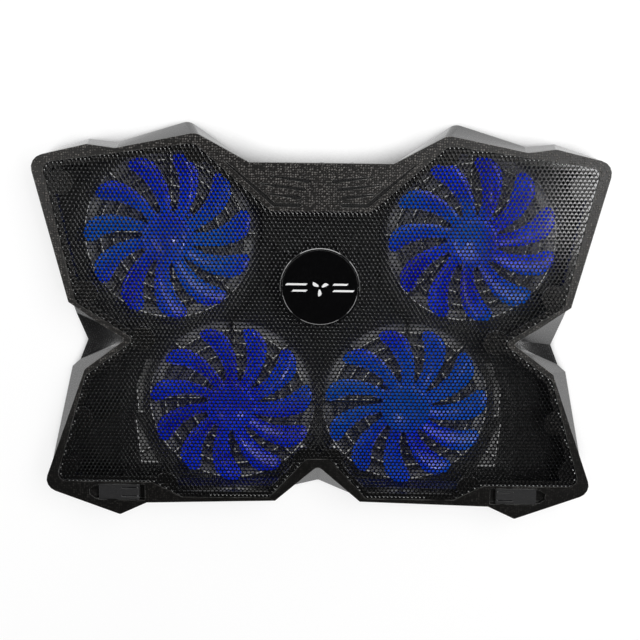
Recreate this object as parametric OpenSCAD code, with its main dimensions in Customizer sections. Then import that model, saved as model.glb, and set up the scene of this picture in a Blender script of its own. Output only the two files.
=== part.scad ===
// Laptop cooling pad: an X-shaped tray with four fans under a perforated panel.
// Millimetres. +X is the pad's right, +Y its rear (the screen side), +Z up.
// The origin is under the middle of the pad, on the surface it stands on.

/* [Overall] */
// Width of the pad across its arms
body_w = 382; // [376:1:470]
// Depth of the pad from front to rear
body_d = 275; // [272:1:340]
// Height of the pad, rubber feet included
body_h = 28; // [27:0.5:36]

/* [Top frame] */
// Thickness of the frame's top plate
plate_t = 2.6; // [2:0.1:3]
// Thickness of the upright walls of the frame and the shell
wall = 2.8; // [2.4:0.1:3.4]
// Height of the top frame, from the parting line up
frame_h = 6; // [5.8:0.1:7]
// How far the plate hangs over the wall below it
lip = 0.8; // [0.5:0.1:1.2]
// Width of the ledge that carries the panel's edge
ledge_w = 4; // [3:0.5:6]
// Half the width of the rear console at its rear edge
console_half_w = 47.5; // [46:0.5:50]
// Depth of the grooves in the console
groove_depth = 0.9; // [0.4:0.1:1.2]
// Width of the widest groove
groove_w = 2.6; // [1.6:0.1:3.2]

/* [Panel and badge] */
// Thickness of the steel panel
sheet_t = 0.6; // [0.5:0.1:1]
// How far the panel lies below the top of the frame
sheet_drop = 0.8; // [0.6:0.1:1]
// Diameter of the round badge
badge_d = 54.4; // [48:0.2:60]
// Distance from the middle of the pad back to the badge
badge_y = 29.5; // [27:0.5:30]

/* [Bottom shell] */
// Thickness of the shell's floor
floor_t = 2.2; // [2:0.1:2.4]
// Height above the feet at which the sides reach out furthest
flare_h = 7; // [6:0.5:8]
// How far the sides draw back in under that line
tuck = 5; // [3:0.5:6]
// Diameter of each round fan opening
fan_open_d = 117; // [114:0.5:118]
// How far the solid seat of a fan reaches past the fan's hub
seat_margin = 6.5; // [6.5:0.5:9]
// Width of the rings in the fan openings
ring_w = 3.6; // [1.2:0.1:4.4]
// Width of the spokes in the fan openings
spoke_w = 3; // [2.4:0.1:4]
// Number of spokes in a fan opening, a multiple of eight
spokes = 8; // [8, 16]

/* [Fans] */
// Diameter across the blade tips
fan_d = 115; // [104:0.5:115]
// Number of blades
blades = 11; // [7:1:13]
// Diameter of the fan's hub
hub_d = 34; // [32:0.5:38]
// Height of the fan's hub
hub_h = 12.8; // [12:0.2:13]
// Thickness of a blade
blade_t = 1.8; // [1.4:0.1:2]
// Angle at which the blades lean
blade_pitch = 8; // [5:0.5:9]
// How far a blade curves round from its root to its tip
blade_sweep = 19; // [12:1:30]
// Diameter of the steel shafts
shaft_d = 3; // [2:0.1:3.4]
// Radial clearance where a shaft or a pin runs in its hole
run_gap = 0.05; // [0.02:0.01:0.08]

/* [Stoppers] */
// Length of a stopper from its pin to its free end
stopper_len = 27; // [20:0.5:28]
// Width of a stopper
stopper_w = 11.2; // [10:0.1:11.4]
// Thickness of a stopper
stopper_t = 3.8; // [3:0.1:3.9]
// Diameter of a stopper's pin
stopper_pin_d = 1.6; // [1.2:0.1:2]
// Gap between a moving flap and its pocket
flap_gap = 0.4; // [0.3:0.05:0.6]

/* [Legs] */
// Length of a leg from its pin to the end of its rubber tip
leg_len = 42; // [34:0.5:43]
// Thickness of a leg
leg_t = 6; // [5:0.1:6.2]
// Width of the bar between the two leg pockets
leg_bar = 8; // [6:0.5:12]
// Diameter of a leg's pin
leg_pin_d = 2.5; // [2:0.1:3]
// Length of the rubber tip on a leg
tip_len = 6; // [4:0.5:8]

/* [Feet and screws] */
// Height of the rubber feet below the shell
foot_h = 2; // [1.5:0.1:2.4]
// Diameter of a rubber foot
foot_d = 12; // [8:0.5:13]
// Diameter of the housing screws
screw_d = 2.5; // [2:0.1:2.6]
// Diameter of the housing screws' heads
screw_head_d = 5.4; // [4:0.1:5.4]

/* [Controls] */
// Diameter of the push buttons
button_d = 5.8; // [5:0.1:6.4]
// Travel of the push buttons
button_travel = 1.2; // [0.8:0.1:1.3]
// Width of a USB socket
usb_w = 13.2; // [12.6:0.1:13.4]
// Height of a USB socket
usb_h = 5.8; // [5.6:0.1:6.2]
// Thickness of the control board
board_t = 1.6; // [1.2:0.1:1.6]
// Width of an inner lead
lead_w = 1.4; // [1:0.1:1.6]

/* [Hidden] */
$fn = 64;
arc_steps = 4;
eps = 0.01;

half_w = body_w / 2;
half_d = body_d / 2;

// Heights of the main layers
shell_z = foot_h;
floor_z = shell_z + floor_t;
flare_z = shell_z + flare_h;
parting_z = body_h - frame_h;
plate_z = body_h - plate_t;
sheet_top = body_h - sheet_drop;
sheet_z = sheet_top - sheet_t;
ledge_t = 1.6;
ledge_z = sheet_z - ledge_t;

// Fans: the rear pair stands wide apart, the front pair close together
fan_r = fan_d / 2;
fan_open_r = fan_open_d / 2;
rear_fan = [half_w - 87.5, half_d - 77.5];
front_fan = [61.5, 78 - half_d];
fan_rim = 2.5;
// Name, side, centre and the angle at which the first blade stands at rest
fans = [["rear_left", -1, rear_fan, 28.5], ["rear_right", 1, rear_fan, 0.7],
        ["front_left", -1, front_fan, 23.4], ["front_right", 1, front_fan, 21.4]];
sides = [["left", -1], ["right", 1]];

// ---- Outline helpers: a corner is [x, y, radius], going clockwise from above ----

function xy(p) = [p.x, p.y];
function unit(v) = v / norm(v);
function wrap(a) = (a + 540) % 360 - 180;
function mirrored(right) = concat(right,
    [for (i = [len(right) - 1 : -1 : 0]) if (right[i].x > 0) [-right[i].x, right[i].y, right[i].z]]);

// The points of one corner, rounded to radius r
function corner(a, p, b, r) = r <= 0 ? [p] :
    let (u = unit(a - p), v = unit(b - p), half = acos(u * v) / 2,
         c = p + unit(u + v) * r / sin(half),
         s = p + u * r / tan(half) - c, e = p + v * r / tan(half) - c,
         a0 = atan2(s.y, s.x), turn = wrap(atan2(e.y, e.x) - a0))
    [for (i = [0 : arc_steps]) c + r * [cos(a0 + turn * i / arc_steps), sin(a0 + turn * i / arc_steps)]];

function rounded(o) = let (n = len(o))
    [for (i = [0 : n - 1]) each corner(xy(o[(i + n - 1) % n]), xy(o[i]), xy(o[(i + 1) % n]), o[i].z)];

// The same outline drawn in by d, corner by corner
function inset(o, d) = let (n = len(o))
    [for (i = [0 : n - 1])
        let (p = xy(o[i]), e1 = unit(p - xy(o[(i + n - 1) % n])), e2 = unit(xy(o[(i + 1) % n]) - p),
             n1 = [e1.y, -e1.x], n2 = [e2.y, -e2.x],
             q = p + (n1 + n2) * d / (1 + n1 * n2),
             outward = cross(e1, e2) < 0 ? -d : d)
        [q.x, q.y, o[i].z > 0 ? max(o[i].z + outward, 0.6) : 0]];

// ---- Outlines, right half from the rear to the front ----

rear_y = half_d - 24;
ports_y = rear_y - 3.3;
notch_x = half_w - 57;
front_notch_y = 38.3 - half_d;
front_y = 11.6 - half_d;

frame_outline = mirrored([
    [console_half_w, rear_y, 0],
    [rear_fan.x - 21, half_d - 5, 8],
    [rear_fan.x + 32, half_d - 15.7, 4],
    [half_w - 37, half_d - 13.3, 3],
    [half_w + 1.8, half_d - 22.5, 9],
    [half_w - 20.7, 17.5, 0],
    [half_w - 42, 2.2, 0],
    [notch_x, -7.5, 0],
    [notch_x, -9.9, 0],
    [half_w - 30, -30, 0],
    [half_w + 2.7, 20.3 - half_d, 9],
    [half_w - 51, -0.16 - half_d, 2],
    [half_w - 70, 9 - half_d, 0],
    [30, front_y, 0],
    [0, front_notch_y, 4]]);

// The walls below the plate: drawn in by the lip, and set forward at the ports
wall_outline = [for (p = inset(frame_outline, lip))
    abs(p.x) < console_half_w + 2 && p.y > 0 ? [sign(p.x) * console_half_w, ports_y, 0] : p];

// The widest line of the shell, where the sides have flared out
flare_outline = mirrored([
    [console_half_w, ports_y, 0],
    [rear_fan.x - 15, half_d + 0.74, 8],
    [rear_fan.x + 33, half_d - 14, 4],
    [half_w - 35.5, half_d - 12, 3],
    [half_w + 0.5, half_d - 23.5, 9],
    [half_w - 20.5, 10, 0],
    [half_w - 22, 5.2, 0],
    [half_w - 29.5, -13.9, 0],
    [half_w - 23.5, -28.4, 0],
    [half_w - 17.7, -33.6, 0],
    [half_w + 1, 21 - half_d, 9],
    [half_w - 52, 2.5 - half_d, 2],
    [half_w - 70, 11 - half_d, 0],
    [30, 12.5 - half_d, 0],
    [0, 20.3 - half_d, 4]]);

panel_front = 24.4 - half_d;
panel_outline = mirrored([
    [33.5, rear_y - 32, 4],
    [rear_fan.x - 20, half_d - 11.6, 8],
    [half_w - 6.5, half_d - 25.7, 6],
    [half_w - 25.5, 17, 6],
    [half_w - 64.5, -8.5, 3],
    [half_w - 30, -34.6, 5],
    [half_w - 6.2, panel_front, 6],
    [half_w - 74, panel_front, 3],
    [half_w - 95, 13.6 - half_d, 3],
    [34.2, 13.9 - half_d, 3],
    [8, front_notch_y + 5, 3]]);

module area(outline) polygon(rounded(outline));

// A closed solid through outlines of equally many points, each seen whole from the middle;
// a level is [z, points], and both ends are closed by triangles that meet in the middle
module loft(levels) {
    n = len(levels[0][1]);
    top = len(levels) - 1;
    low_mid = n * len(levels);
    polyhedron(
        points = concat([for (l = levels, p = l[1]) [p.x, p.y, l[0]]],
                        [[0, 0, levels[0][0]], [0, 0, levels[top][0]]]),
        faces = [for (i = [0 : n - 1]) let (j = (i + 1) % n) each concat(
            [[low_mid, j, i], [low_mid + 1, top * n + i, top * n + j]],
            [for (k = [0 : top - 1]) each [[k * n + j, (k + 1) * n + j, (k + 1) * n + i],
                                           [k * n + j, (k + 1) * n + i, k * n + i]]])],
        convexity = 8);
}

module on_side(s) {
    if (s > 0) children();
    else mirror([1, 0, 0]) children();
}
module both_sides() { children(); mirror([1, 0, 0]) children(); }
module at(p, z = 0) translate([p.x, p.y, z]) children();

// ---- Housing screws and feet ----

boss_r = screw_head_d / 2 + 1.7;
post_r = 3.6;
ear_r = 8.5;
boss_top = shell_z + 11;
head_seat = shell_z + 4;
head_h = 2;
screw_len = 14;
screw_spots = [[half_w - 18, half_d - 38.5], [rear_fan.x - 21.5, half_d - 17], [half_w - 32, 24],
               [half_w - 70, -8], [half_w - 25, -66], [half_w - 13, 35.5 - half_d],
               [half_w - 84, 22.5 - half_d], [8.5, front_notch_y + 4.7]];
foot_sink = 1;
foot_spots = [[half_w - 31, half_d - 30.5], [half_w - 28, 37.5 - half_d]];
middle_foot = [0, front_notch_y + 11];

// ---- Stoppers: flaps that fold down into pockets at the front corners ----

stopper_pin_x = half_w - 63.5;
stopper_z = body_h - 0.3 - stopper_t / 2;
stopper_pocket_w = stopper_w + 2 * flap_gap;
stopper_y = panel_front - 1.5 - stopper_pocket_w / 2;
pocket_in = 5.5;
scoop_len = 6.5;
pocket_floor = parting_z + 1.4;
pin_hold = 1.2;

module stopper_pocket_2d() {
    x0 = stopper_pin_x - pocket_in;
    x1 = stopper_pin_x + stopper_len + flap_gap;
    translate([x0, stopper_y - stopper_pocket_w / 2]) square([x1 - x0, stopper_pocket_w]);
}
module stopper_scoop_2d() translate([stopper_pin_x + stopper_len, stopper_y]) {
    half = stopper_pocket_w / 2 - 1;
    polygon([[-1, -half], [-1, half], [scoop_len - 4, half], [scoop_len, 2], [scoop_len, -2],
             [scoop_len - 4, -half]]);
}
module y_rod(r, y0, y1) translate([0, y0, 0]) rotate([-90, 0, 0]) cylinder(r = r, h = y1 - y0);
module x_rod(r, x0, x1) translate([x0, 0, 0]) rotate([0, 90, 0]) cylinder(r = r, h = x1 - x0);
module stopper_pin_rod(extra) translate([stopper_pin_x, 0, stopper_z])
    y_rod(stopper_pin_d / 2 + extra, stopper_y - stopper_pocket_w / 2 - pin_hold - extra,
          stopper_y + stopper_pocket_w / 2 + pin_hold + extra);

// ---- Console grooves: plain slanting strokes, mirrored about the middle ----

module stroke(a, b, w0, w1) {
    u = unit(b - a);
    side = [-u.y, u.x] / 2;
    polygon([a - side * w0, a - u * w0 / 2, a + side * w0, b + side * w1, b + u * w1 / 2, b - side * w1]);
}
module grooves_2d() translate([0, rear_y]) {
    stroke([8, -12], [34, -9], groove_w, 0.8);
    stroke([11, -17.5], [40, -14], groove_w, 0.8);
    stroke([14, -23], [36, -20.5], groove_w, 0.8);
    stroke([41, -19], [64, 1], groove_w, 0.8);
    stroke([14, -28], [31, -28], groove_w, groove_w);
    stroke([31, -28], [41, -19], groove_w, groove_w);
}

module top_frame() color([0.09, 0.09, 0.1]) difference() {
    union() {
        translate([0, 0, plate_z]) linear_extrude(plate_t) difference() {
            area(frame_outline);
            area(panel_outline);
        }
        translate([0, 0, ledge_z]) linear_extrude(ledge_t) difference() {
            area(inset(panel_outline, -1.5));
            area(inset(panel_outline, ledge_w));
        }
        translate([0, 0, parting_z]) linear_extrude(plate_z - parting_z + eps) difference() {
            area(wall_outline);
            area(inset(wall_outline, wall));
        }
        both_sides() {
            translate([0, 0, parting_z]) linear_extrude(plate_z - parting_z + eps) intersection() {
                area(wall_outline);
                translate([stopper_pin_x - pocket_in - 1.4, stopper_y - stopper_pocket_w / 2 - 1.4])
                    square([stopper_len + pocket_in + scoop_len + 2.8, stopper_pocket_w + 2.8]);
            }
            for (p = screw_spots) at(p, boss_top) cylinder(r = post_r, h = sheet_z - boss_top);
            // Ears that tie the posts to the ledge
            translate([0, 0, ledge_z]) linear_extrude(ledge_t) intersection() {
                area(wall_outline);
                for (p = screw_spots) translate(p) circle(ear_r);
            }
        }
    }
    both_sides() {
        translate([0, 0, pocket_floor]) linear_extrude(body_h) stopper_pocket_2d();
        translate([0, 0, pocket_floor + 0.4]) linear_extrude(body_h) stopper_scoop_2d();
        stopper_pin_rod(0.02);
        for (p = screw_spots)
            at(p, boss_top - eps) cylinder(d = screw_d + 0.1, h = head_seat + screw_len + 1 - boss_top);
        translate([0, 0, body_h - groove_depth]) linear_extrude(groove_depth + 1) grooves_2d();
    }
}

// ---- Perforated panel and badge: the perforations are too many to cut one by one ----

neck_r = badge_d / 2 - 4.5;
badge_pin_r = 2;
badge_pin_ring = neck_r - 8;
ring_t = 2;
post_top = sheet_z - ring_t;
stake_len = ring_t + 2;

module mesh_panel() color([0.14, 0.14, 0.15]) translate([0, 0, sheet_z]) linear_extrude(sheet_t)
    difference() {
        area(inset(panel_outline, 0.3));
        translate([0, badge_y]) circle(neck_r + 0.3);
    }

module three_pins() for (a = [90, 210, 330]) rotate(a) translate([badge_pin_ring, 0, 0]) children();

module badge() color([0.03, 0.03, 0.035]) translate([0, badge_y, 0]) {
    edge = body_h - sheet_top;
    translate([0, 0, sheet_top]) rotate_extrude() polygon([[0, 0], [badge_d / 2, 0],
        [badge_d / 2, edge * 0.4], [badge_d / 2 - 0.5, edge * 0.75], [badge_d / 2 - 3, edge], [0, edge]]);
    translate([0, 0, sheet_z]) cylinder(r = neck_r, h = sheet_t + eps);
    three_pins() translate([0, 0, sheet_z - stake_len]) cylinder(r = badge_pin_r, h = stake_len + eps);
}

module badge_ring() color([0.2, 0.2, 0.22]) translate([0, badge_y, post_top]) difference() {
    cylinder(d = badge_d, h = ring_t);
    translate([0, 0, -1]) cylinder(r = badge_pin_ring - 5, h = ring_t + 2);
    three_pins() translate([0, 0, -1]) cylinder(r = badge_pin_r + run_gap, h = ring_t + 2);
}

// ---- Legs: two stands that fold into the underside below the console ----

leg_pin_y = rear_y - 12.5;
leg_clear = 0.4;
leg_z = shell_z + leg_clear + leg_t / 2;
pocket_x0 = leg_bar / 2;
pocket_x1 = rear_fan.x - fan_open_r - 7;
leg_x0 = pocket_x0 + leg_clear;
leg_x1 = pocket_x1 - leg_clear;
pocket_y0 = leg_pin_y - leg_len - 0.8;
pocket_y1 = leg_pin_y + leg_t / 2 + 1.4;
pocket_roof = leg_z + leg_t / 2 + 0.6;
pocket_wall = 1.6;
leg_scoop = [16, 7];
leg_mid_x = (leg_x0 + leg_x1) / 2;
leg_pin_hold = 1.4;

module leg_pocket_2d() {
    translate([pocket_x0, pocket_y0]) square([pocket_x1 - pocket_x0, pocket_y1 - pocket_y0]);
    translate([leg_mid_x - leg_scoop.x / 2, pocket_y0 - leg_scoop.y])
        square([leg_scoop.x, leg_scoop.y + 1]);
}
module leg_pocket_cover_2d() {
    translate([0, pocket_y0 - pocket_wall])
        square([pocket_x1 + pocket_wall, pocket_y1 - pocket_y0 + 2 * pocket_wall]);
    translate([leg_mid_x - leg_scoop.x / 2 - pocket_wall, pocket_y0 - leg_scoop.y - pocket_wall])
        square([leg_scoop.x + 2 * pocket_wall, leg_scoop.y + pocket_wall]);
}
module leg_pin_rod(extra) translate([0, leg_pin_y, leg_z])
    x_rod(leg_pin_d / 2 + extra, pocket_x0 - leg_pin_hold - extra, pocket_x1 + leg_pin_hold + extra);

module leg() color([0.1, 0.1, 0.11]) difference() {
    union() {
        translate([0, leg_pin_y, leg_z]) x_rod(leg_t / 2, leg_x0, leg_x1);
        translate([leg_x0, leg_pin_y - leg_len + tip_len, leg_z - leg_t / 2])
            cube([leg_x1 - leg_x0, leg_len - tip_len, leg_t]);
        // Tongue that holds the rubber tip
        translate([leg_x0 + 3, leg_pin_y - leg_len + tip_len / 3, leg_z - leg_t / 4])
            cube([leg_x1 - leg_x0 - 6, tip_len, leg_t / 2]);
    }
    translate([0, leg_pin_y, leg_z]) x_rod(leg_pin_d / 2 + run_gap, leg_x0 - 1, leg_x1 + 1);
    // Hollow in the face that is hidden while the leg is folded
    translate([leg_x0 + 4, leg_pin_y - leg_len + tip_len + 4, leg_z])
        cube([leg_x1 - leg_x0 - 8, leg_len - tip_len - 12, leg_t]);
}
module leg_tip() color([0.05, 0.05, 0.05]) difference() {
    translate([leg_x0, leg_pin_y - leg_len, leg_z - leg_t / 2])
        cube([leg_x1 - leg_x0, tip_len, leg_t]);
    translate([leg_x0 + 3, leg_pin_y - leg_len + tip_len / 3, leg_z - leg_t / 4])
        cube([leg_x1 - leg_x0 - 6, tip_len, leg_t / 2]);
}
module leg_pin() color([0.7, 0.7, 0.72]) leg_pin_rod(0);

// ---- Controls at the rear: board, USB sockets and two push buttons ----

button_spots = [0, 20.5];
button_out = 2.6;
flange_t = 1.2;
stem_len = 1.8;
dome_h = 0.8;
dome_r = (button_d * button_d / 4 + dome_h * dome_h) / (2 * dome_h);
switch_size = [6, 5.5, 5.8];
board_z = pocket_roof + pocket_wall + 1.4;
board_top = board_z + board_t;
board_half_w = console_half_w - 3.5;
board_d = 13.5;
board_y0 = ports_y - wall - 0.2 - flange_t - button_travel - 0.4 - board_d;
control_z = board_top + usb_h / 2;
usb_spots = [-36, -18];
usb_depth = 14;
usb_skin = 0.4;
board_screw_spots = [[(usb_spots[0] + usb_spots[1]) / 2, board_y0 + 3.5],
                     [board_half_w - 10, board_y0 + 3.5]];
board_screw_len = board_t + 1.9;

module usb_socket(i) color([0.75, 0.75, 0.77])
    translate([usb_spots[i] - usb_w / 2, ports_y - 0.2 - usb_depth, board_top]) difference() {
        cube([usb_w, usb_depth, usb_h]);
        translate([usb_skin, 1, usb_skin])
            cube([usb_w - 2 * usb_skin, usb_depth, usb_h - 2 * usb_skin]);
    }

module button(i) color([0.12, 0.12, 0.13]) translate([button_spots[i], ports_y, control_z]) {
    flange_y = -wall - 0.2;
    y_rod(button_d / 2, flange_y - eps, button_out - dome_h);
    y_rod(button_d / 2 + 0.9, flange_y - flange_t, flange_y);
    y_rod(1.2, flange_y - flange_t - stem_len, flange_y - flange_t + eps);
    // Domed cap
    translate([0, button_out - dome_h, 0]) rotate([-90, 0, 0]) rotate_extrude() intersection() {
        translate([0, dome_h - dome_r]) circle(dome_r);
        square([button_d / 2, dome_h]);
    }
}

module switch(i) color([0.2, 0.2, 0.2])
    translate([button_spots[i] - switch_size.x / 2,
               ports_y - wall - 0.2 - flange_t - stem_len - button_travel - 0.3 - switch_size.y, board_top])
        cube(switch_size);

module control_board() color([0.05, 0.3, 0.15]) difference() {
    translate([-board_half_w, board_y0, board_z]) cube([2 * board_half_w, board_d, board_t]);
    for (p = board_screw_spots) at(p, board_z - 1) cylinder(r = 1.3, h = board_t + 2);
}
module board_screws() color([0.7, 0.7, 0.72]) for (p = board_screw_spots) at(p) {
    translate([0, 0, board_top]) cylinder(r = 2.2, h = 1.4);
    translate([0, 0, board_top - board_screw_len]) cylinder(r = 1, h = board_screw_len + eps);
}

// ---- Fans ----

seat_r = hub_d / 2 + seat_margin;
base_r = seat_r - 1;
base_t = 2;
base_z = floor_z;
hub_z = base_z + base_t + 1;
hub_wall = 1.6;
hub_top = hub_z + hub_h;
tube_h = 10;
bush_r = 3;
tube_r = 4.4;
stator_r = hub_d / 2 - hub_wall - 4.2;
led_ring = base_r - 2.2;

// Outline of one blade in polar steps: it sweeps round, is widest at its root and ends in a round tip
blade_steps = 14;
tip_start = 0.8;
blade_half = 10;
function sweep(t) = blade_sweep * pow(t, 1.6);
function tip_round(t) = t < tip_start ? 1 : sqrt(1 - pow((t - tip_start) / (1.02 - tip_start), 2));
function half_span(t) = blade_half * tip_round(t) + blade_half / 2 * pow(1 - t, 8);
function blade_point(t, s) = let (r = hub_d / 2 - 1 + t * (fan_r - hub_d / 2 + 1),
                                  a = sweep(t) + s * half_span(t)) r * [cos(a), sin(a)];
blade_outline = concat([for (i = [0 : blade_steps]) blade_point(i / blade_steps, -1)],
                       [for (i = [blade_steps : -1 : 0]) blade_point(i / blade_steps, 1)]);

module impeller() color([0.02, 0.1, 0.85, 0.9]) {
    difference() {
        translate([0, 0, hub_z]) cylinder(d = hub_d, h = hub_h);
        translate([0, 0, hub_z - 1]) cylinder(r = hub_d / 2 - hub_wall, h = hub_h - hub_wall + 1);
    }
    difference() {
        translate([0, 0, hub_top - hub_wall - 2]) cylinder(r = bush_r + 1, h = 2 + eps);
        translate([0, 0, hub_top - hub_wall - 3]) cylinder(r = shaft_d / 2 + 0.02, h = 3);
    }
    for (i = [0 : blades - 1]) rotate(i * 360 / blades)
        translate([0, 0, hub_z + hub_h / 2 - 2]) rotate([blade_pitch, 0, 0])
            difference() {
                translate([0, 0, -blade_t / 2]) linear_extrude(blade_t) polygon(blade_outline);
                translate([0, 0, -hub_h]) cylinder(r = hub_d / 2 - hub_wall / 2, h = 2 * hub_h);
            }
}
module fan_shaft() color([0.75, 0.75, 0.77])
    translate([0, 0, base_z + base_t + 0.6])
        cylinder(d = shaft_d, h = hub_top - hub_wall - base_z - base_t - 0.6);
module magnet_ring() color([0.25, 0.25, 0.27]) translate([0, 0, hub_z + 1]) difference() {
    cylinder(r = hub_d / 2 - hub_wall - 0.1, h = 8);
    translate([0, 0, -1]) cylinder(r = hub_d / 2 - hub_wall - 2.6, h = 10);
}
module motor_base() color([0.16, 0.16, 0.17]) difference() {
    union() {
        translate([0, 0, base_z]) cylinder(r = base_r, h = base_t);
        translate([0, 0, base_z]) cylinder(r = tube_r, h = base_t + tube_h - 1);
        // Stator: an iron ring with four poles
        translate([0, 0, base_z + base_t + 1.5]) difference() {
            cylinder(r = stator_r, h = 6);
            for (a = [45 : 90 : 315]) rotate(a) translate([stator_r - 1.2, 0, -1]) cylinder(r = 2.6, h = 8);
        }
    }
    translate([0, 0, base_z + base_t]) cylinder(r = bush_r, h = tube_h + 1);
    for (a = [0, 180]) rotate(a) translate([base_r - 3.4, 0, base_z - 1]) cylinder(r = 1.2, h = base_t + 2);
    for (a = [45 : 90 : 315]) rotate(a) translate([led_ring, 0, base_z - 1]) cylinder(r = 1.55, h = base_t + 2);
}
module bush() color([0.72, 0.55, 0.3]) translate([0, 0, base_z + base_t + 0.4]) difference() {
    cylinder(r = bush_r - 0.02, h = tube_h - 2);
    translate([0, 0, -1]) cylinder(r = shaft_d / 2 + run_gap, h = tube_h);
}
module led() {
    translate([0, 0, base_z]) cylinder(r = 1.5, h = 2.6);
    translate([0, 0, base_z + 2.6]) intersection() {
        sphere(r = 1.5);
        translate([-2, -2, -eps]) cube([4, 4, 1]);
    }
}

// Flat two-core leads lie on the spokes and the floor, then rise to the board
function bend(path, i, d) =
    let (j = max(i, 1), k = min(i + 1, len(path) - 1),
         e1 = unit(path[j] - path[j - 1]), e2 = unit(path[k] - path[k - 1]),
         n1 = [-e1.y, e1.x], n2 = [-e2.y, e2.x])
    path[i] + (n1 + n2) * d / (1 + n1 * n2);
module ribbon(path, t) linear_extrude(t) polygon(concat(
    [for (i = [0 : len(path) - 1]) bend(path, i, lead_w / 2)],
    [for (i = [len(path) - 1 : -1 : 0]) bend(path, i, -lead_w / 2)]));
lead_t = 1.2;
lane_x = pocket_x1 + 3.6;
rear_rim = rear_fan + (fan_open_r + 1) * [-cos(45), sin(45)];
rear_lead = [rear_fan + (base_r + 0.2) * [-cos(45), sin(45)], rear_rim,
             [lane_x + 6, board_y0 + 10], [lane_x, board_y0 + 10]];
front_lead = [front_fan + [0, base_r + 0.2], front_fan + [0, fan_open_r + 1],
              [lane_x + 11, badge_y - 20], [lane_x, badge_y - 4], [lane_x, board_y0 + 2.5]];
module fan_lead(path) color([0.08, 0.08, 0.09]) {
    translate([0, 0, floor_z]) ribbon(path, lead_t);
    at(path[len(path) - 1] - [lead_w, lead_w] / 2, floor_z) cube([lead_w, lead_w, board_z - floor_z]);
}

// ---- Bottom shell ----

module grille_2d() {
    circle(seat_r);
    for (i = [1 : 3]) {
        r = seat_r + i * (fan_open_r - seat_r) / 4;
        difference() { circle(r + ring_w / 2); circle(r - ring_w / 2); }
    }
    for (i = [0 : spokes - 1]) rotate(i * 360 / spokes)
        translate([seat_r - 2, -spoke_w / 2]) square([fan_open_r - seat_r + 3, spoke_w]);
}
// Slots beside the front fans: a narrow sliver, then a triangle crossed by a rib
module side_vents_2d() translate(front_fan) {
    polygon([[55.5, 30], [63, 14], [64, -9.5], [67, -9.5], [68, 10], [60, 30]]);
    difference() {
        polygon([[69.5, -12], [66, -48], [54, -48]]);
        translate([56, -36]) rotate(-32) square([16, 1.4]);
    }
}
module shell_tray() difference() {
    loft([[shell_z, rounded(inset(flare_outline, tuck))],
          [flare_z, rounded(flare_outline)],
          [parting_z, rounded(wall_outline)]]);
    loft([[floor_z, rounded(inset(flare_outline, tuck + wall * 0.6))],
          [flare_z, rounded(inset(flare_outline, wall))],
          [parting_z + eps, rounded(inset(wall_outline, wall))]]);
}
module bottom_shell() color([0.11, 0.11, 0.12]) difference() {
    union() {
        difference() {
            shell_tray();
            for (f = fans) on_side(f[1]) at(f[2], shell_z - 1) cylinder(r = fan_open_r, h = floor_t + 2);
        }
        for (f = fans) on_side(f[1]) at(f[2], shell_z) linear_extrude(floor_t) grille_2d();
        both_sides() {
            translate([0, 0, shell_z]) linear_extrude(pocket_roof + pocket_wall - shell_z)
                leg_pocket_cover_2d();
            for (p = screw_spots) at(p, shell_z) cylinder(r = boss_r, h = boss_top - shell_z);
        }
        for (p = board_screw_spots) at(p, floor_z - eps) cylinder(r = 3, h = board_z - floor_z + eps);
        // Post that carries the middle of the panel
        at([0, badge_y], floor_z - eps) difference() {
            cylinder(r = neck_r - 2.7, h = post_top - floor_z + eps);
            cylinder(r = neck_r - 4.7, h = post_top);
        }
    }
    both_sides() {
        translate([0, 0, shell_z - 1]) linear_extrude(pocket_roof - shell_z + 1) leg_pocket_2d();
        leg_pin_rod(0.02);
        translate([0, 0, shell_z - 1]) linear_extrude(floor_t + 2) side_vents_2d();
        for (p = screw_spots) at(p, shell_z - 1) {
            cylinder(d = screw_head_d + 0.4, h = head_seat - shell_z + 1);
            cylinder(d = screw_d + 0.6, h = boss_top);
        }
        for (p = foot_spots) at(p, shell_z - 1) cylinder(d = foot_d + 0.1, h = foot_sink + 1);
    }
    at(middle_foot, shell_z - 1) cylinder(d = foot_d + 0.1, h = foot_sink + 1);
    for (f = fans) on_side(f[1]) at(f[2]) for (a = [0, 180]) rotate(a)
        translate([base_r - 3.4, 0, shell_z - 1]) cylinder(r = 1.3, h = floor_t + 2);
    for (p = board_screw_spots)
        at(p, board_top - board_screw_len - 0.2) cylinder(r = 1.05, h = board_screw_len + 1);
    for (x = usb_spots)
        translate([x - usb_w / 2 - 0.3, ports_y - wall - 1, board_top - 0.3])
            cube([usb_w + 0.6, wall + 3, usb_h + 0.6]);
    for (x = button_spots) translate([x, 0, control_z])
        y_rod(button_d / 2 + run_gap, ports_y - wall - 1, ports_y + 1);
}

module rubber_feet() color([0.05, 0.05, 0.05]) {
    both_sides() for (p = foot_spots) at(p) cylinder(d = foot_d, h = foot_h + foot_sink);
    at(middle_foot) cylinder(d = foot_d, h = foot_h + foot_sink);
}
module housing_screws() color([0.3, 0.3, 0.32]) both_sides() for (p = screw_spots) at(p) {
    difference() {
        translate([0, 0, head_seat - head_h]) cylinder(d = screw_head_d, h = head_h);
        for (a = [0, 90]) rotate(a) translate([-1.6, -0.35, head_seat - head_h - 1]) cube([3.2, 0.7, 2]);
    }
    translate([0, 0, head_seat - eps]) cylinder(d = screw_d, h = screw_len);
}
module fan_screws() color([0.3, 0.3, 0.32])
    for (f = fans) on_side(f[1]) at(f[2]) for (a = [0, 180]) rotate(a) translate([base_r - 3.4, 0, 0]) {
        translate([0, 0, base_z + base_t]) cylinder(r = 2, h = 0.8);
        translate([0, 0, shell_z + 0.2]) cylinder(r = 1.1, h = base_z + base_t - shell_z - 0.2 + eps);
    }
module fan_leds() color([0.6, 0.8, 1])
    for (f = fans) on_side(f[1]) at(f[2]) for (a = [45 : 90 : 315]) rotate(a) translate([led_ring, 0, 0]) led();

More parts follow.
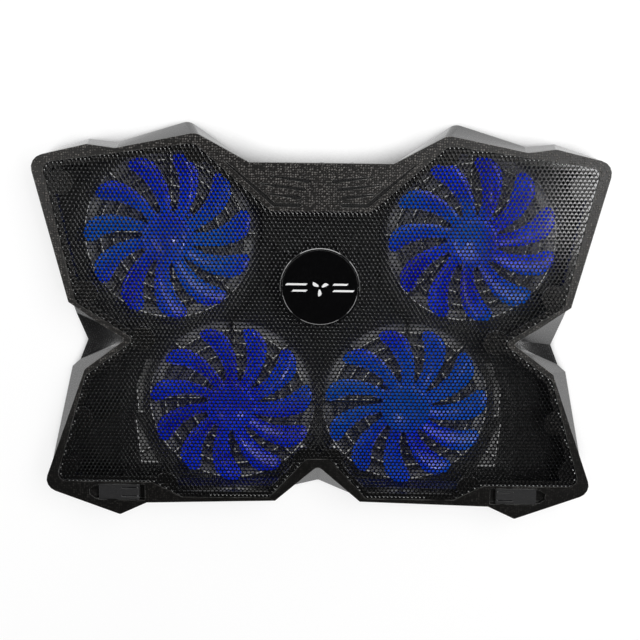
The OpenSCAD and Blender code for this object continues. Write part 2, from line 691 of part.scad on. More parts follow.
module stopper() color([0.13, 0.13, 0.14]) difference() {
    union() {
        translate([stopper_pin_x, 0, stopper_z])
            y_rod(stopper_t / 2, stopper_y - stopper_w / 2, stopper_y + stopper_w / 2);
        translate([stopper_pin_x, stopper_y - stopper_w / 2, stopper_z - stopper_t / 2])
            cube([stopper_len, stopper_w, stopper_t]);
    }
    translate([stopper_pin_x, 0, stopper_z])
        y_rod(stopper_pin_d / 2 + run_gap, stopper_y - stopper_w, stopper_y + stopper_w);
    // Two slits that free the middle tongue
    for (s = [-1, 1]) translate([stopper_pin_x - stopper_t, stopper_y + s * 3.2 - 0.4, 0])
        cube([stopper_t + 11, 0.8, body_h * 2]);
}
module stopper_pin() color([0.7, 0.7, 0.72]) stopper_pin_rod(0);

// ---- The pieces, in their places ----

top_frame();
mesh_panel();
badge();
badge_ring();
bottom_shell();
for (f = fans) on_side(f[1]) {
    at(f[2]) on_side(f[1]) rotate(f[3]) impeller();
    at(f[2]) fan_shaft();
    at(f[2]) magnet_ring();
    at(f[2]) motor_base();
    at(f[2]) bush();
    fan_lead(f[2] == rear_fan ? rear_lead : front_lead);
}
fan_leds();
fan_screws();
housing_screws();
rubber_feet();
control_board();
board_screws();
for (i = [0, 1]) {
    name = sides[i][0];
    usb_socket(i);
    button(i);
    switch(i);
    on_side(sides[i][1]) {
        stopper();
        stopper_pin();
        leg();
        leg_pin();
        leg_tip();
    }
}
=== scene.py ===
import math

import bmesh
import bpy
from mathutils import Matrix, Vector


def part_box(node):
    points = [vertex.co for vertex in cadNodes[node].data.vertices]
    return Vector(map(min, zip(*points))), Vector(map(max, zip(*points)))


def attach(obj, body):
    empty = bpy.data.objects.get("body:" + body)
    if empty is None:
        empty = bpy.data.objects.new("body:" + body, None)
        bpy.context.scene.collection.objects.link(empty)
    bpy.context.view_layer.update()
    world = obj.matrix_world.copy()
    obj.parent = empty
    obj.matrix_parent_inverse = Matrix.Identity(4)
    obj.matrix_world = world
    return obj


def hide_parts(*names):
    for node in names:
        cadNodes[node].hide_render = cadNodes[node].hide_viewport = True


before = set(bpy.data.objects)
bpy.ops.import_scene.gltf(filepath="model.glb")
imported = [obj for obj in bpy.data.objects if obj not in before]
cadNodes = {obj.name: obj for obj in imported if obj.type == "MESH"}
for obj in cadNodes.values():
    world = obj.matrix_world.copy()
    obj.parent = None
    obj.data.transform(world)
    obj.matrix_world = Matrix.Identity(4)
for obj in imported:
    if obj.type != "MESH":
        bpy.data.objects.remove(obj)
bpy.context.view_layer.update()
mm = 0.001
fanNames = ["rear_left", "rear_right", "front_left", "front_right"]
sideNames = ["left", "right"]


def middle(node):
    low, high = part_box(node)
    return (low + high) / 2


camera = {"lens": 66.94, "distance": 0.8084, "tilt": 15.0, "roll": 0.7, "target": (0.0003, 0.007, 0.028)}
studio = {"zenith": 0.008, "horizon": 1.0, "brightBelow": 0.02, "dimAbove": 0.3, "fill": 0.3,
          "floorHalf": 3.0, "floorGlow": 0.77, "floorShare": 0.27, "shadeReach": 0.035,
          "shadeFrom": 0.3, "shadeTo": 0.62, "mirroredFloor": 1.0, "floorColour": 0.85}
lamps = {
    "softbox": {"place": (0.52, -0.12, 1.32), "size": (0.2, 0.2), "watts": 1.7},
    "window": {"place": (-0.62, -0.1, 1.2), "size": (0.16, 0.16), "watts": 1.5},
    "overhead": {"place": (0.52, 0.46, 1.1), "size": (0.9, 0.9), "watts": 12.0},
    "leftStrip": {"place": (-1.0, 0.15, 0.16), "size": (1.0, 0.22), "watts": 4.0},
    "rightStrip": {"place": (1.0, 0.15, 0.16), "size": (1.0, 0.22), "watts": 4.0},
    "rearStrip": {"place": (0.0, 1.1, 0.2), "size": (1.6, 0.25), "watts": 7.0},
}


def makeCamera():
    tilt = math.radians(camera["tilt"])
    back = Vector((0, math.sin(tilt), math.cos(tilt)))
    up = Vector((0, math.cos(tilt), -math.sin(tilt)))
    turn = Matrix((Vector((1, 0, 0)), up, back)).transposed().to_4x4()
    data = bpy.data.cameras.new("camera")
    data.lens = camera["lens"]
    data.clip_start = 0.01
    shot = bpy.data.objects.new("camera", data)
    bpy.context.scene.collection.objects.link(shot)
    place = Matrix.Translation(Vector(camera["target"]) + camera["distance"] * back)
    shot.matrix_world = place @ turn @ Matrix.Rotation(math.radians(camera["roll"]), 4, "Z")
    bpy.context.scene.camera = shot


def makeLamps():
    for name, lamp in lamps.items():
        data = bpy.data.lights.new(name, "AREA")
        data.shape = "RECTANGLE"
        data.size, data.size_y = lamp["size"]
        data.energy = lamp["watts"]
        obj = bpy.data.objects.new(name, data)
        obj.location = lamp["place"]
        obj.rotation_euler = (-Vector(lamp["place"])).to_track_quat("-Z", "Y").to_euler()
        bpy.context.scene.collection.objects.link(obj)


# Makes a node, sets its properties, and links or fills the inputs named in wires
def put(tree, kind, wires=None, **settings):
    node = tree.nodes.new(kind)
    for key, value in settings.items():
        setattr(node, key, value)
    for socket, value in (wires or {}).items():
        if isinstance(value, bpy.types.NodeSocket):
            tree.links.new(value, node.inputs[socket])
        else:
            node.inputs[socket].default_value = value
    return node


def calc(tree, operation, a, b=0.0, c=0.0):
    return put(tree, "ShaderNodeMath", {0: a, 1: b, 2: c}, operation=operation).outputs[0]


def startGroup(name, kind, inputs, outputs):
    group = bpy.data.node_groups.new(name, kind)
    for label, socketType, value in inputs:
        socket = group.interface.new_socket(label, in_out="INPUT", socket_type=socketType)
        if value is not None:
            socket.default_value = value
    for label, socketType in outputs:
        group.interface.new_socket(label, in_out="OUTPUT", socket_type=socketType)
    return group, group.nodes.new("NodeGroupInput").outputs, group.nodes.new("NodeGroupOutput").inputs


def useGroup(tree, group, wires):
    return put(tree, "ShaderNodeGroup", wires, node_tree=group).outputs


def makeWorld():
    world = bpy.data.worlds.new("studio")
    bpy.context.scene.world = world
    world.use_nodes = True
    tree = world.node_tree
    tree.nodes.clear()
    direction = put(tree, "ShaderNodeTexCoord").outputs["Generated"]
    height = put(tree, "ShaderNodeSeparateXYZ", {0: direction}).outputs["Z"]
    level = put(tree, "ShaderNodeMapRange",
                {"Value": height, "From Min": studio["brightBelow"], "From Max": studio["dimAbove"],
                 "To Min": studio["horizon"], "To Max": studio["zenith"]},
                interpolation_type="SMOOTHSTEP").outputs[0]
    path = put(tree, "ShaderNodeLightPath").outputs
    seen = put(tree, "ShaderNodeBackground", {"Color": level, "Strength": 1.0})
    fill = put(tree, "ShaderNodeBackground", {"Color": (1, 1, 1, 1), "Strength": studio["fill"]})
    white = put(tree, "ShaderNodeBackground", {"Color": (1, 1, 1, 1), "Strength": 1.0})
    shiny = put(tree, "ShaderNodeMixShader", {0: path["Is Glossy Ray"], 1: fill.outputs[0],
                                              2: seen.outputs[0]})
    choice = put(tree, "ShaderNodeMixShader", {0: path["Is Camera Ray"], 1: shiny.outputs[0],
                                               2: white.outputs[0]})
    put(tree, "ShaderNodeOutputWorld", {0: choice.outputs[0]})


def makeFloor():
    mesh = bpy.data.meshes.new("floor")
    half = studio["floorHalf"]
    corners = [(-half, -half, 0), (half, -half, 0), (half, half, 0), (-half, half, 0)]
    mesh.from_pydata(corners, [], [(0, 1, 2, 3)])
    floor = bpy.data.objects.new("floor", mesh)
    bpy.context.scene.collection.objects.link(floor)
    mat = bpy.data.materials.new("paper")
    mat.use_nodes = True
    tree = mat.node_tree
    tree.nodes.clear()
    paper = put(tree, "ShaderNodeBsdfDiffuse", {"Color": (studio["floorColour"],) * 3 + (1,)})
    openness = put(tree, "ShaderNodeAmbientOcclusion", {"Distance": studio["shadeReach"]},
                   samples=16).outputs["AO"]
    lift = put(tree, "ShaderNodeMapRange",
               {"Value": openness, "From Min": studio["shadeFrom"], "From Max": studio["shadeTo"],
                "To Max": studio["floorGlow"]}).outputs[0]
    glow = put(tree, "ShaderNodeEmission", {"Color": (1, 1, 1, 1), "Strength": lift})
    black = put(tree, "ShaderNodeBsdfDiffuse", {"Color": (0, 0, 0, 1)})
    soft = put(tree, "ShaderNodeMixShader", {0: studio["floorShare"], 1: black.outputs[0],
                                             2: paper.outputs[0]})
    lit = put(tree, "ShaderNodeAddShader", {0: soft.outputs[0], 1: glow.outputs[0]})
    mirrored = put(tree, "ShaderNodeEmission", {"Color": (1, 1, 1, 1),
                                                "Strength": studio["mirroredFloor"]})
    path = put(tree, "ShaderNodeLightPath").outputs
    shiny = calc(tree, "MAXIMUM", path["Is Glossy Ray"], path["Is Transmission Ray"])
    bounced = put(tree, "ShaderNodeMixShader", {0: shiny, 1: paper.outputs[0], 2: mirrored.outputs[0]})
    topSide = put(tree, "ShaderNodeMixShader", {0: path["Is Camera Ray"], 1: bounced.outputs[0],
                                                2: lit.outputs[0]})
    clear = put(tree, "ShaderNodeBsdfTransparent")
    below = put(tree, "ShaderNodeNewGeometry").outputs["Backfacing"]
    choice = put(tree, "ShaderNodeMixShader", {0: below, 1: topSide.outputs[0], 2: clear.outputs[0]})
    put(tree, "ShaderNodeOutputMaterial", {0: choice.outputs[0]})
    mesh.materials.append(mat)


makeCamera()
makeLamps()
makeWorld()
makeFloor()
print("stage ready")


def makeMouldGrain():
    group, given, out = startGroup("mouldGrain", "ShaderNodeTree",
                                   [("Cell", "NodeSocketFloat", 1.1), ("Spot", "NodeSocketFloat", 0.42)],
                                   [("Height", "NodeSocketFloat"), ("Tone", "NodeSocketFloat")])
    place = put(group, "ShaderNodeTexCoord").outputs["Object"]
    density = calc(group, "DIVIDE", 1000.0, given["Cell"])
    pebble = put(group, "ShaderNodeTexVoronoi", {"Vector": place, "Scale": density, "Randomness": 0.45})
    own = put(group, "ShaderNodeSeparateColor", {0: pebble.outputs["Color"]}).outputs[0]
    fine = put(group, "ShaderNodeTexNoise", {"Vector": place, "Scale": calc(group, "MULTIPLY", density, 1.7),
                                             "Detail": 2.0}).outputs["Fac"]
    spot = put(group, "ShaderNodeMapRange", {"Value": pebble.outputs["Distance"], "From Min": given["Spot"],
                                             "From Max": calc(group, "MULTIPLY", given["Spot"], 0.35)},
               interpolation_type="SMOOTHSTEP").outputs[0]
    uneven = calc(group, "MULTIPLY", spot, calc(group, "MULTIPLY_ADD", own, 0.7, 0.3))
    tone = calc(group, "MULTIPLY_ADD", fine, 0.1, calc(group, "MULTIPLY", uneven, 0.85))
    group.links.new(calc(group, "MULTIPLY_ADD", fine, 0.3, spot), out["Height"])
    group.links.new(tone, out["Tone"])
    return group


# Mask along rounded edges, broken up by noise; it marks edge wear and also a painted highlight along the
# edges
def makeEdgeWearAndHighlight():
    group, given, out = startGroup("edgeWearAndHighlight", "ShaderNodeTree",
                                   [("Width", "NodeSocketFloat", 0.0006), ("Amount", "NodeSocketFloat", 0.5)],
                                   [("Mask", "NodeSocketFloat")])
    rounded = put(group, "ShaderNodeBevel", {"Radius": given["Width"]}, samples=3)
    flat = put(group, "ShaderNodeNewGeometry")
    facing = put(group, "ShaderNodeVectorMath", {0: rounded.outputs[0], 1: flat.outputs["True Normal"]},
                 operation="DOT_PRODUCT").outputs["Value"]
    bend = put(group, "ShaderNodeMapRange", {"Value": facing, "From Min": 0.995,
                                             "From Max": 0.85}).outputs[0]
    place = put(group, "ShaderNodeTexCoord").outputs["Object"]
    patchy = put(group, "ShaderNodeTexNoise", {"Vector": place, "Scale": 160.0,
                                               "Detail": 3.0}).outputs["Fac"]
    broken = put(group, "ShaderNodeMapRange", {"Value": patchy, "From Min": 0.35,
                                               "From Max": 0.65}).outputs[0]
    mask = calc(group, "MULTIPLY", calc(group, "MULTIPLY", bend, broken), given["Amount"])
    group.links.new(mask, out["Mask"])
    return group


def makeLightDust():
    group, given, out = startGroup("lightDust", "ShaderNodeTree",
                                   [("Amount", "NodeSocketFloat", 0.2), ("Speck", "NodeSocketFloat", 0.6)],
                                   [("Mask", "NodeSocketFloat")])
    place = put(group, "ShaderNodeTexCoord").outputs["Object"]
    density = calc(group, "DIVIDE", 1000.0, given["Speck"])
    speck = put(group, "ShaderNodeTexNoise", {"Vector": place, "Scale": density,
                                              "Detail": 1.0}).outputs["Fac"]
    drift = put(group, "ShaderNodeTexNoise", {"Vector": place, "Scale": 22.0, "Detail": 2.0}).outputs["Fac"]
    grains = put(group, "ShaderNodeMapRange", {"Value": speck, "From Min": 0.62,
                                               "From Max": 0.75}).outputs[0]
    upward = put(group, "ShaderNodeSeparateXYZ",
                 {0: put(group, "ShaderNodeNewGeometry").outputs["Normal"]}).outputs["Z"]
    lying = calc(group, "MAXIMUM", upward, 0.0)
    mask = calc(group, "MULTIPLY", calc(group, "MULTIPLY", grains, drift),
                calc(group, "MULTIPLY", lying, given["Amount"]))
    group.links.new(mask, out["Mask"])
    return group


# Distance to the nearest point of the staggered hole pattern, slid along Y by a share of two rows
def patternReach(group, place, pitch, row, slide):
    reach = []
    for shift in (0.0, 0.5):
        x = calc(group, "WRAP", calc(group, "MULTIPLY_ADD", pitch, shift, place["X"]),
                 calc(group, "MULTIPLY", pitch, 0.5), calc(group, "MULTIPLY", pitch, -0.5))
        y = calc(group, "WRAP", calc(group, "MULTIPLY_ADD", row, shift + slide, place["Y"]),
                 calc(group, "MULTIPLY", row, 0.5), calc(group, "MULTIPLY", row, -0.5))
        reach.append(calc(group, "SQRT", calc(group, "ADD", calc(group, "MULTIPLY", x, x),
                                              calc(group, "MULTIPLY", y, y))))
    return calc(group, "MINIMUM", *reach)


# The paint crowns up between the holes, and where three webs meet a pale dot is painted as a painted glint
def makeWebCrownAndGlint():
    group, given, out = startGroup("webCrownAndGlint", "ShaderNodeTree",
                                   [("Pitch", "NodeSocketFloat", 2.85 * mm),
                                    ("Hole", "NodeSocketFloat", 2.1 * mm),
                                    ("Shoulder", "NodeSocketFloat", 0.55 * mm),
                                    ("Painted glint", "NodeSocketFloat", 0.42 * mm)],
                                   [("Height", "NodeSocketFloat"), ("Painted glint", "NodeSocketFloat")])
    place = put(group, "ShaderNodeSeparateXYZ",
                {0: put(group, "ShaderNodeTexCoord").outputs["Object"]}).outputs
    row = calc(group, "MULTIPLY", given["Pitch"], math.sqrt(3))
    rim = calc(group, "MULTIPLY", given["Hole"], 0.5)
    fromHole = patternReach(group, place, given["Pitch"], row, 0.0)
    fromJunction = patternReach(group, place, given["Pitch"], row, 1 / 3)
    away = put(group, "ShaderNodeMapRange",
               {"Value": fromHole, "From Min": rim, "From Max": calc(group, "ADD", rim, given["Shoulder"]),
                "To Min": 1.0, "To Max": 0.0}).outputs[0]
    group.links.new(calc(group, "SUBTRACT", 1.0, calc(group, "MULTIPLY", away, away)), out["Height"])
    # Painted glint: a round mask where three webs meet
    paintedGlint = put(group, "ShaderNodeMapRange",
               {"Value": fromJunction, "From Min": given["Painted glint"],
                "From Max": calc(group, "MULTIPLY", given["Painted glint"], 0.4), "To Min": 0.0, "To Max": 1.0},
               interpolation_type="SMOOTHSTEP").outputs[0]
    group.links.new(paintedGlint, out["Painted glint"])
    return group


mouldGrain = makeMouldGrain()
edgeWearAndHighlight = makeEdgeWearAndHighlight()
lightDust = makeLightDust()
webCrownAndGlint = makeWebCrownAndGlint()


def mixColour(tree, share, first, second):
    node = put(tree, "ShaderNodeMix", data_type="RGBA")
    for index, value in ((0, share), (6, first), (7, second)):
        if isinstance(value, bpy.types.NodeSocket):
            tree.links.new(value, node.inputs[index])
        else:
            node.inputs[index].default_value = value if index == 0 else tuple(value) + (1,)
    return node.outputs[2]


def newMaterial(name, colour):
    mat = bpy.data.materials.new(name)
    mat.use_nodes = True
    mat.diffuse_color = tuple(colour) + (1,)
    return mat, mat.node_tree, mat.node_tree.nodes["Principled BSDF"]


def setPlain(shader, values):
    for socket, value in values.items():
        shader.inputs[socket].default_value = value


def rampAlong(tree, value, start, end):
    return put(tree, "ShaderNodeMapRange", {"Value": value, "From Min": start, "From Max": end},
               interpolation_type="SMOOTHSTEP").outputs[0]


# 1 on the upward faces of the console's cuts, 0 elsewhere; the frame paints these floors near black as
# painted shade
def grooveMask(tree, axes):
    upward = put(tree, "ShaderNodeSeparateXYZ",
                 {0: put(tree, "ShaderNodeNewGeometry").outputs["True Normal"]}).outputs["Z"]
    mask = calc(tree, "MULTIPLY", calc(tree, "LESS_THAN", axes["Z"], console["floorBelow"]),
                calc(tree, "LESS_THAN", calc(tree, "ABSOLUTE", axes["X"]), console["halfWidth"]))
    mask = calc(tree, "MULTIPLY", mask, calc(tree, "GREATER_THAN", axes["Y"], console["front"]))
    return calc(tree, "MULTIPLY", mask, calc(tree, "GREATER_THAN", upward, 0.7))


# 1 on the flat faces inside and under the casing, which are left matt from the mould and are painted darker
# as painted shade
def shadeAndMattMask(tree, axes, top):
    upward = put(tree, "ShaderNodeSeparateXYZ",
                 {0: put(tree, "ShaderNodeNewGeometry").outputs["True Normal"]}).outputs["Z"]
    return calc(tree, "MULTIPLY", calc(tree, "LESS_THAN", axes["Z"], top),
                calc(tree, "GREATER_THAN", calc(tree, "ABSOLUTE", upward), 0.98))


def mouldedPlastic(name, look):
    mat, tree, shader = newMaterial(name, look["colour"])
    setPlain(shader, {"IOR": look.get("ior", 1.5), "Coat Weight": look.get("coat", 0.0),
                      "Coat Roughness": 0.12, "Specular IOR Level": look.get("shine", 0.5)})
    axes = put(tree, "ShaderNodeSeparateXYZ",
               {0: put(tree, "ShaderNodeTexCoord").outputs["Object"]}).outputs
    grain = useGroup(tree, mouldGrain, {"Cell": look["grain"], "Spot": look.get("spot", 0.42)})
    wearAndHighlight = useGroup(tree, edgeWearAndHighlight, {"Width": 0.5 * mm, "Amount": look["wearAndHighlight"]})["Mask"]
    dust = useGroup(tree, lightDust, {"Amount": look.get("dust", 0.12), "Speck": 0.7})["Mask"]
    tone, height = grain["Tone"], grain["Height"]
    if "fade" in look:
        kept = put(tree, "ShaderNodeMapRange", {"Value": axes["Y"], "From Min": look["fade"][0],
                                                "From Max": look["fade"][1], "To Min": 0.18}).outputs[0]
        tone = calc(tree, "MULTIPLY", tone, kept)
        height = calc(tree, "MULTIPLY", height, kept)
    dark = [channel * (1 - look["speckle"]) for channel in look["colour"]]
    body = mixColour(tree, tone, dark, look["pale"])
    # Edges take a paler colour: partly wear, partly a painted highlight
    wornAndHighlit = mixColour(tree, wearAndHighlight, body, look["edgeWearAndHighlightColour"])
    # Dust on upward faces; the colour built here also carries the painted edge highlight and, further on, the
    # painted shade in the cuts and inside the casing
    surfaceColour = mixColour(tree, dust, wornAndHighlit, (0.4, 0.39, 0.37))
    rough = calc(tree, "MULTIPLY_ADD", tone, look["roughSpread"], look["roughness"])
    if look.get("grooves"):
        groove = grooveMask(tree, axes)
        # Painted shade: the floors of the console's cuts are painted near black
        surfaceColour = mixColour(tree, groove, surfaceColour, (0.0015, 0.0015, 0.0015))
        rough = calc(tree, "MULTIPLY_ADD", groove, 0.3, rough)
    if "shadedAndMattBelow" in look:
        shadedAndMatt = shadeAndMattMask(tree, axes, look["shadedAndMattBelow"])
        # Painted shade: these faces are painted darker; they are also made rougher and lose the coat
        surfaceColour = mixColour(tree, shadedAndMatt, surfaceColour, (0.004, 0.004, 0.004))
        rough = calc(tree, "MULTIPLY_ADD", shadedAndMatt, 0.4, rough)
        coat = calc(tree, "MULTIPLY", calc(tree, "SUBTRACT", 1.0, shadedAndMatt), look["coat"])
        tree.links.new(coat, shader.inputs["Coat Weight"])
    tree.links.new(surfaceColour, shader.inputs["Base Color"])
    tree.links.new(rough, shader.inputs["Roughness"])
    bump = put(tree, "ShaderNodeBump", {"Strength": look["bump"], "Distance": look["grain"] * mm * 0.12,
                                        "Height": height})
    tree.links.new(bump.outputs[0], shader.inputs["Normal"])
    return mat


def metalFinish(name, look):
    mat, tree, shader = newMaterial(name, look["colour"])
    setPlain(shader, {"Metallic": look.get("metallic", 1.0)})
    place = put(tree, "ShaderNodeTexCoord").outputs["Object"]
    drawn = put(tree, "ShaderNodeMapping", {"Vector": place, "Scale": look["stretch"]}).outputs[0]
    lines = put(tree, "ShaderNodeTexNoise", {"Vector": drawn, "Scale": 1.0, "Detail": 3.0}).outputs["Fac"]
    wearAndHighlight = useGroup(tree, edgeWearAndHighlight, {"Width": 0.3 * mm, "Amount": 0.5})["Mask"]
    tone = mixColour(tree, lines, [channel * 0.8 for channel in look["colour"]],
                     [min(1.0, channel * 1.15) for channel in look["colour"]])
    # Edges are painted brighter: partly wear, partly a painted highlight
    bright = mixColour(tree, wearAndHighlight, tone, [min(1.0, channel * 1.4 + 0.05) for channel in look["colour"]])
    tree.links.new(bright, shader.inputs["Base Color"])
    tree.links.new(calc(tree, "MULTIPLY_ADD", lines, 0.2, look["roughness"]), shader.inputs["Roughness"])
    bump = put(tree, "ShaderNodeBump", {"Strength": 0.25, "Distance": 0.00003, "Height": lines})
    tree.links.new(bump.outputs[0], shader.inputs["Normal"])
    return mat


# The punched sheet: hole pattern, plain rim around it and the shallow dish around the badge
panel = {"pitch": 2.85 * mm, "hole": 2.1 * mm, "rim": 0.28 * mm, "columns": 138, "rows": 116,
         "dishDepth": 0.5 * mm, "dishStart": 27.6 * mm, "dishEnd": 44.0 * mm}
panelPaint = {"colour": (0.002, 0.002, 0.0022), "paintedGlintColour": (0.5, 0.5, 0.49), "paintedGlint": 0.42 * mm,
              "roughness": 0.08, "crown": 0.15 * mm, "shoulder": 0.55 * mm}


def paintedPanel(name, look):
    mat, tree, shader = newMaterial(name, look["colour"])
    setPlain(shader, {"IOR": 1.5})
    web = useGroup(tree, webCrownAndGlint, {"Pitch": panel["pitch"], "Hole": panel["hole"],
                                    "Shoulder": look["shoulder"], "Painted glint": look["paintedGlint"]})
    dust = useGroup(tree, lightDust, {"Amount": 0.02, "Speck": 0.5})["Mask"]
    place = put(tree, "ShaderNodeTexCoord").outputs["Object"]
    peel = put(tree, "ShaderNodeTexNoise", {"Vector": place, "Scale": 1400.0, "Detail": 2.0}).outputs["Fac"]
    body = mixColour(tree, peel, [channel * 0.7 for channel in look["colour"]],
                     [channel * 1.8 for channel in look["colour"]])
    surfaceColour = mixColour(tree, dust, body, (0.5, 0.49, 0.47))
    # Painted glint: a pale dot of colour where three webs meet stands in for a highlight
    tree.links.new(mixColour(tree, web["Painted glint"], surfaceColour, look["paintedGlintColour"]), shader.inputs["Base Color"])
    tree.links.new(calc(tree, "MULTIPLY_ADD", peel, 0.08, look["roughness"]), shader.inputs["Roughness"])
    orange = put(tree, "ShaderNodeBump", {"Strength": 0.12, "Distance": 0.00004, "Height": peel}).outputs[0]
    bump = put(tree, "ShaderNodeBump", {"Strength": 1.0, "Distance": look["crown"],
                                        "Height": web["Height"], "Normal": orange})
    tree.links.new(bump.outputs[0], shader.inputs["Normal"])
    return mat


bladeLook = {"colour": (0.0, 0.03, 0.85), "deep": (0.0, 0.004, 0.5), "glow": (0.0, 0.05, 1.0),
             "glowStrength": 0.3, "azure": (0.0, 0.09, 0.6), "roughness": 0.2}


def bladePlastic(name, look):
    mat, tree, shader = newMaterial(name, look["colour"])
    setPlain(shader, {"IOR": 1.49, "Coat Weight": 0.5, "Coat Roughness": 0.1, "Subsurface Weight": 0.25,
                      "Subsurface Radius": (0.002, 0.003, 0.01), "Subsurface Scale": 1.0,
                      "Emission Strength": look["glowStrength"]})
    place = put(tree, "ShaderNodeTexCoord").outputs["Object"]
    flow = put(tree, "ShaderNodeTexNoise", {"Vector": place, "Scale": 45.0, "Detail": 3.0,
                                            "Distortion": 0.6}).outputs["Fac"]
    share = put(tree, "ShaderNodeMapRange", {"Value": flow, "From Min": 0.3, "From Max": 0.7}).outputs[0]
    wearAndHighlight = useGroup(tree, edgeWearAndHighlight, {"Width": 0.0007, "Amount": 0.55})["Mask"]
    wide = put(tree, "ShaderNodeTexNoise", {"Vector": place, "Scale": 11.0, "Detail": 1.0}).outputs["Fac"]
    cool = rampAlong(tree, wide, 0.48, 0.66)
    body = mixColour(tree, cool, mixColour(tree, share, look["deep"], look["colour"]), look["azure"])
    # Blade edges are painted a paler blue: partly wear, partly a painted highlight
    tree.links.new(mixColour(tree, wearAndHighlight, body, (0.03, 0.16, 0.9)), shader.inputs["Base Color"])
    lit = mixColour(tree, cool, mixColour(tree, share, look["deep"], look["glow"]), look["azure"])
    tree.links.new(lit, shader.inputs["Emission Color"])
    ripple = put(tree, "ShaderNodeTexNoise", {"Vector": place, "Scale": 600.0, "Detail": 2.0}).outputs["Fac"]
    tree.links.new(calc(tree, "MULTIPLY_ADD", ripple, 0.14, look["roughness"]), shader.inputs["Roughness"])
    bump = put(tree, "ShaderNodeBump", {"Strength": 0.2, "Distance": 0.00005, "Height": ripple})
    tree.links.new(bump.outputs[0], shader.inputs["Normal"])
    return mat


def glossBlack(name, colour):
    mat, tree, shader = newMaterial(name, colour)
    setPlain(shader, {"IOR": 1.5, "Coat Weight": 1.0, "Coat Roughness": 0.03})
    dust = useGroup(tree, lightDust, {"Amount": 0.1, "Speck": 0.35})["Mask"]
    place = put(tree, "ShaderNodeTexCoord").outputs["Object"]
    wipe = put(tree, "ShaderNodeTexNoise", {"Vector": place, "Scale": 90.0, "Detail": 4.0}).outputs["Fac"]
    tree.links.new(mixColour(tree, dust, colour, (0.2, 0.2, 0.21)), shader.inputs["Base Color"])
    tree.links.new(calc(tree, "MULTIPLY_ADD", wipe, 0.07, 0.03), shader.inputs["Roughness"])
    return mat


def glowingLens(name, colour, strength):
    mat, tree, shader = newMaterial(name, colour)
    setPlain(shader, {"Roughness": 0.15, "Emission Strength": strength})
    place = put(tree, "ShaderNodeTexCoord").outputs["Object"]
    cloud = put(tree, "ShaderNodeTexNoise", {"Vector": place, "Scale": 900.0}).outputs["Fac"]
    tint = mixColour(tree, cloud, [channel * 0.8 for channel in colour], colour)
    tree.links.new(tint, shader.inputs["Base Color"])
    tree.links.new(tint, shader.inputs["Emission Color"])
    return mat


# Colours are linear; grain is the size of one pebble in millimetres
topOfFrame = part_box("top_frame")[1]
console = {"halfWidth": 62 * mm, "front": 70 * mm, "floorBelow": topOfFrame.z - 0.45 * mm}
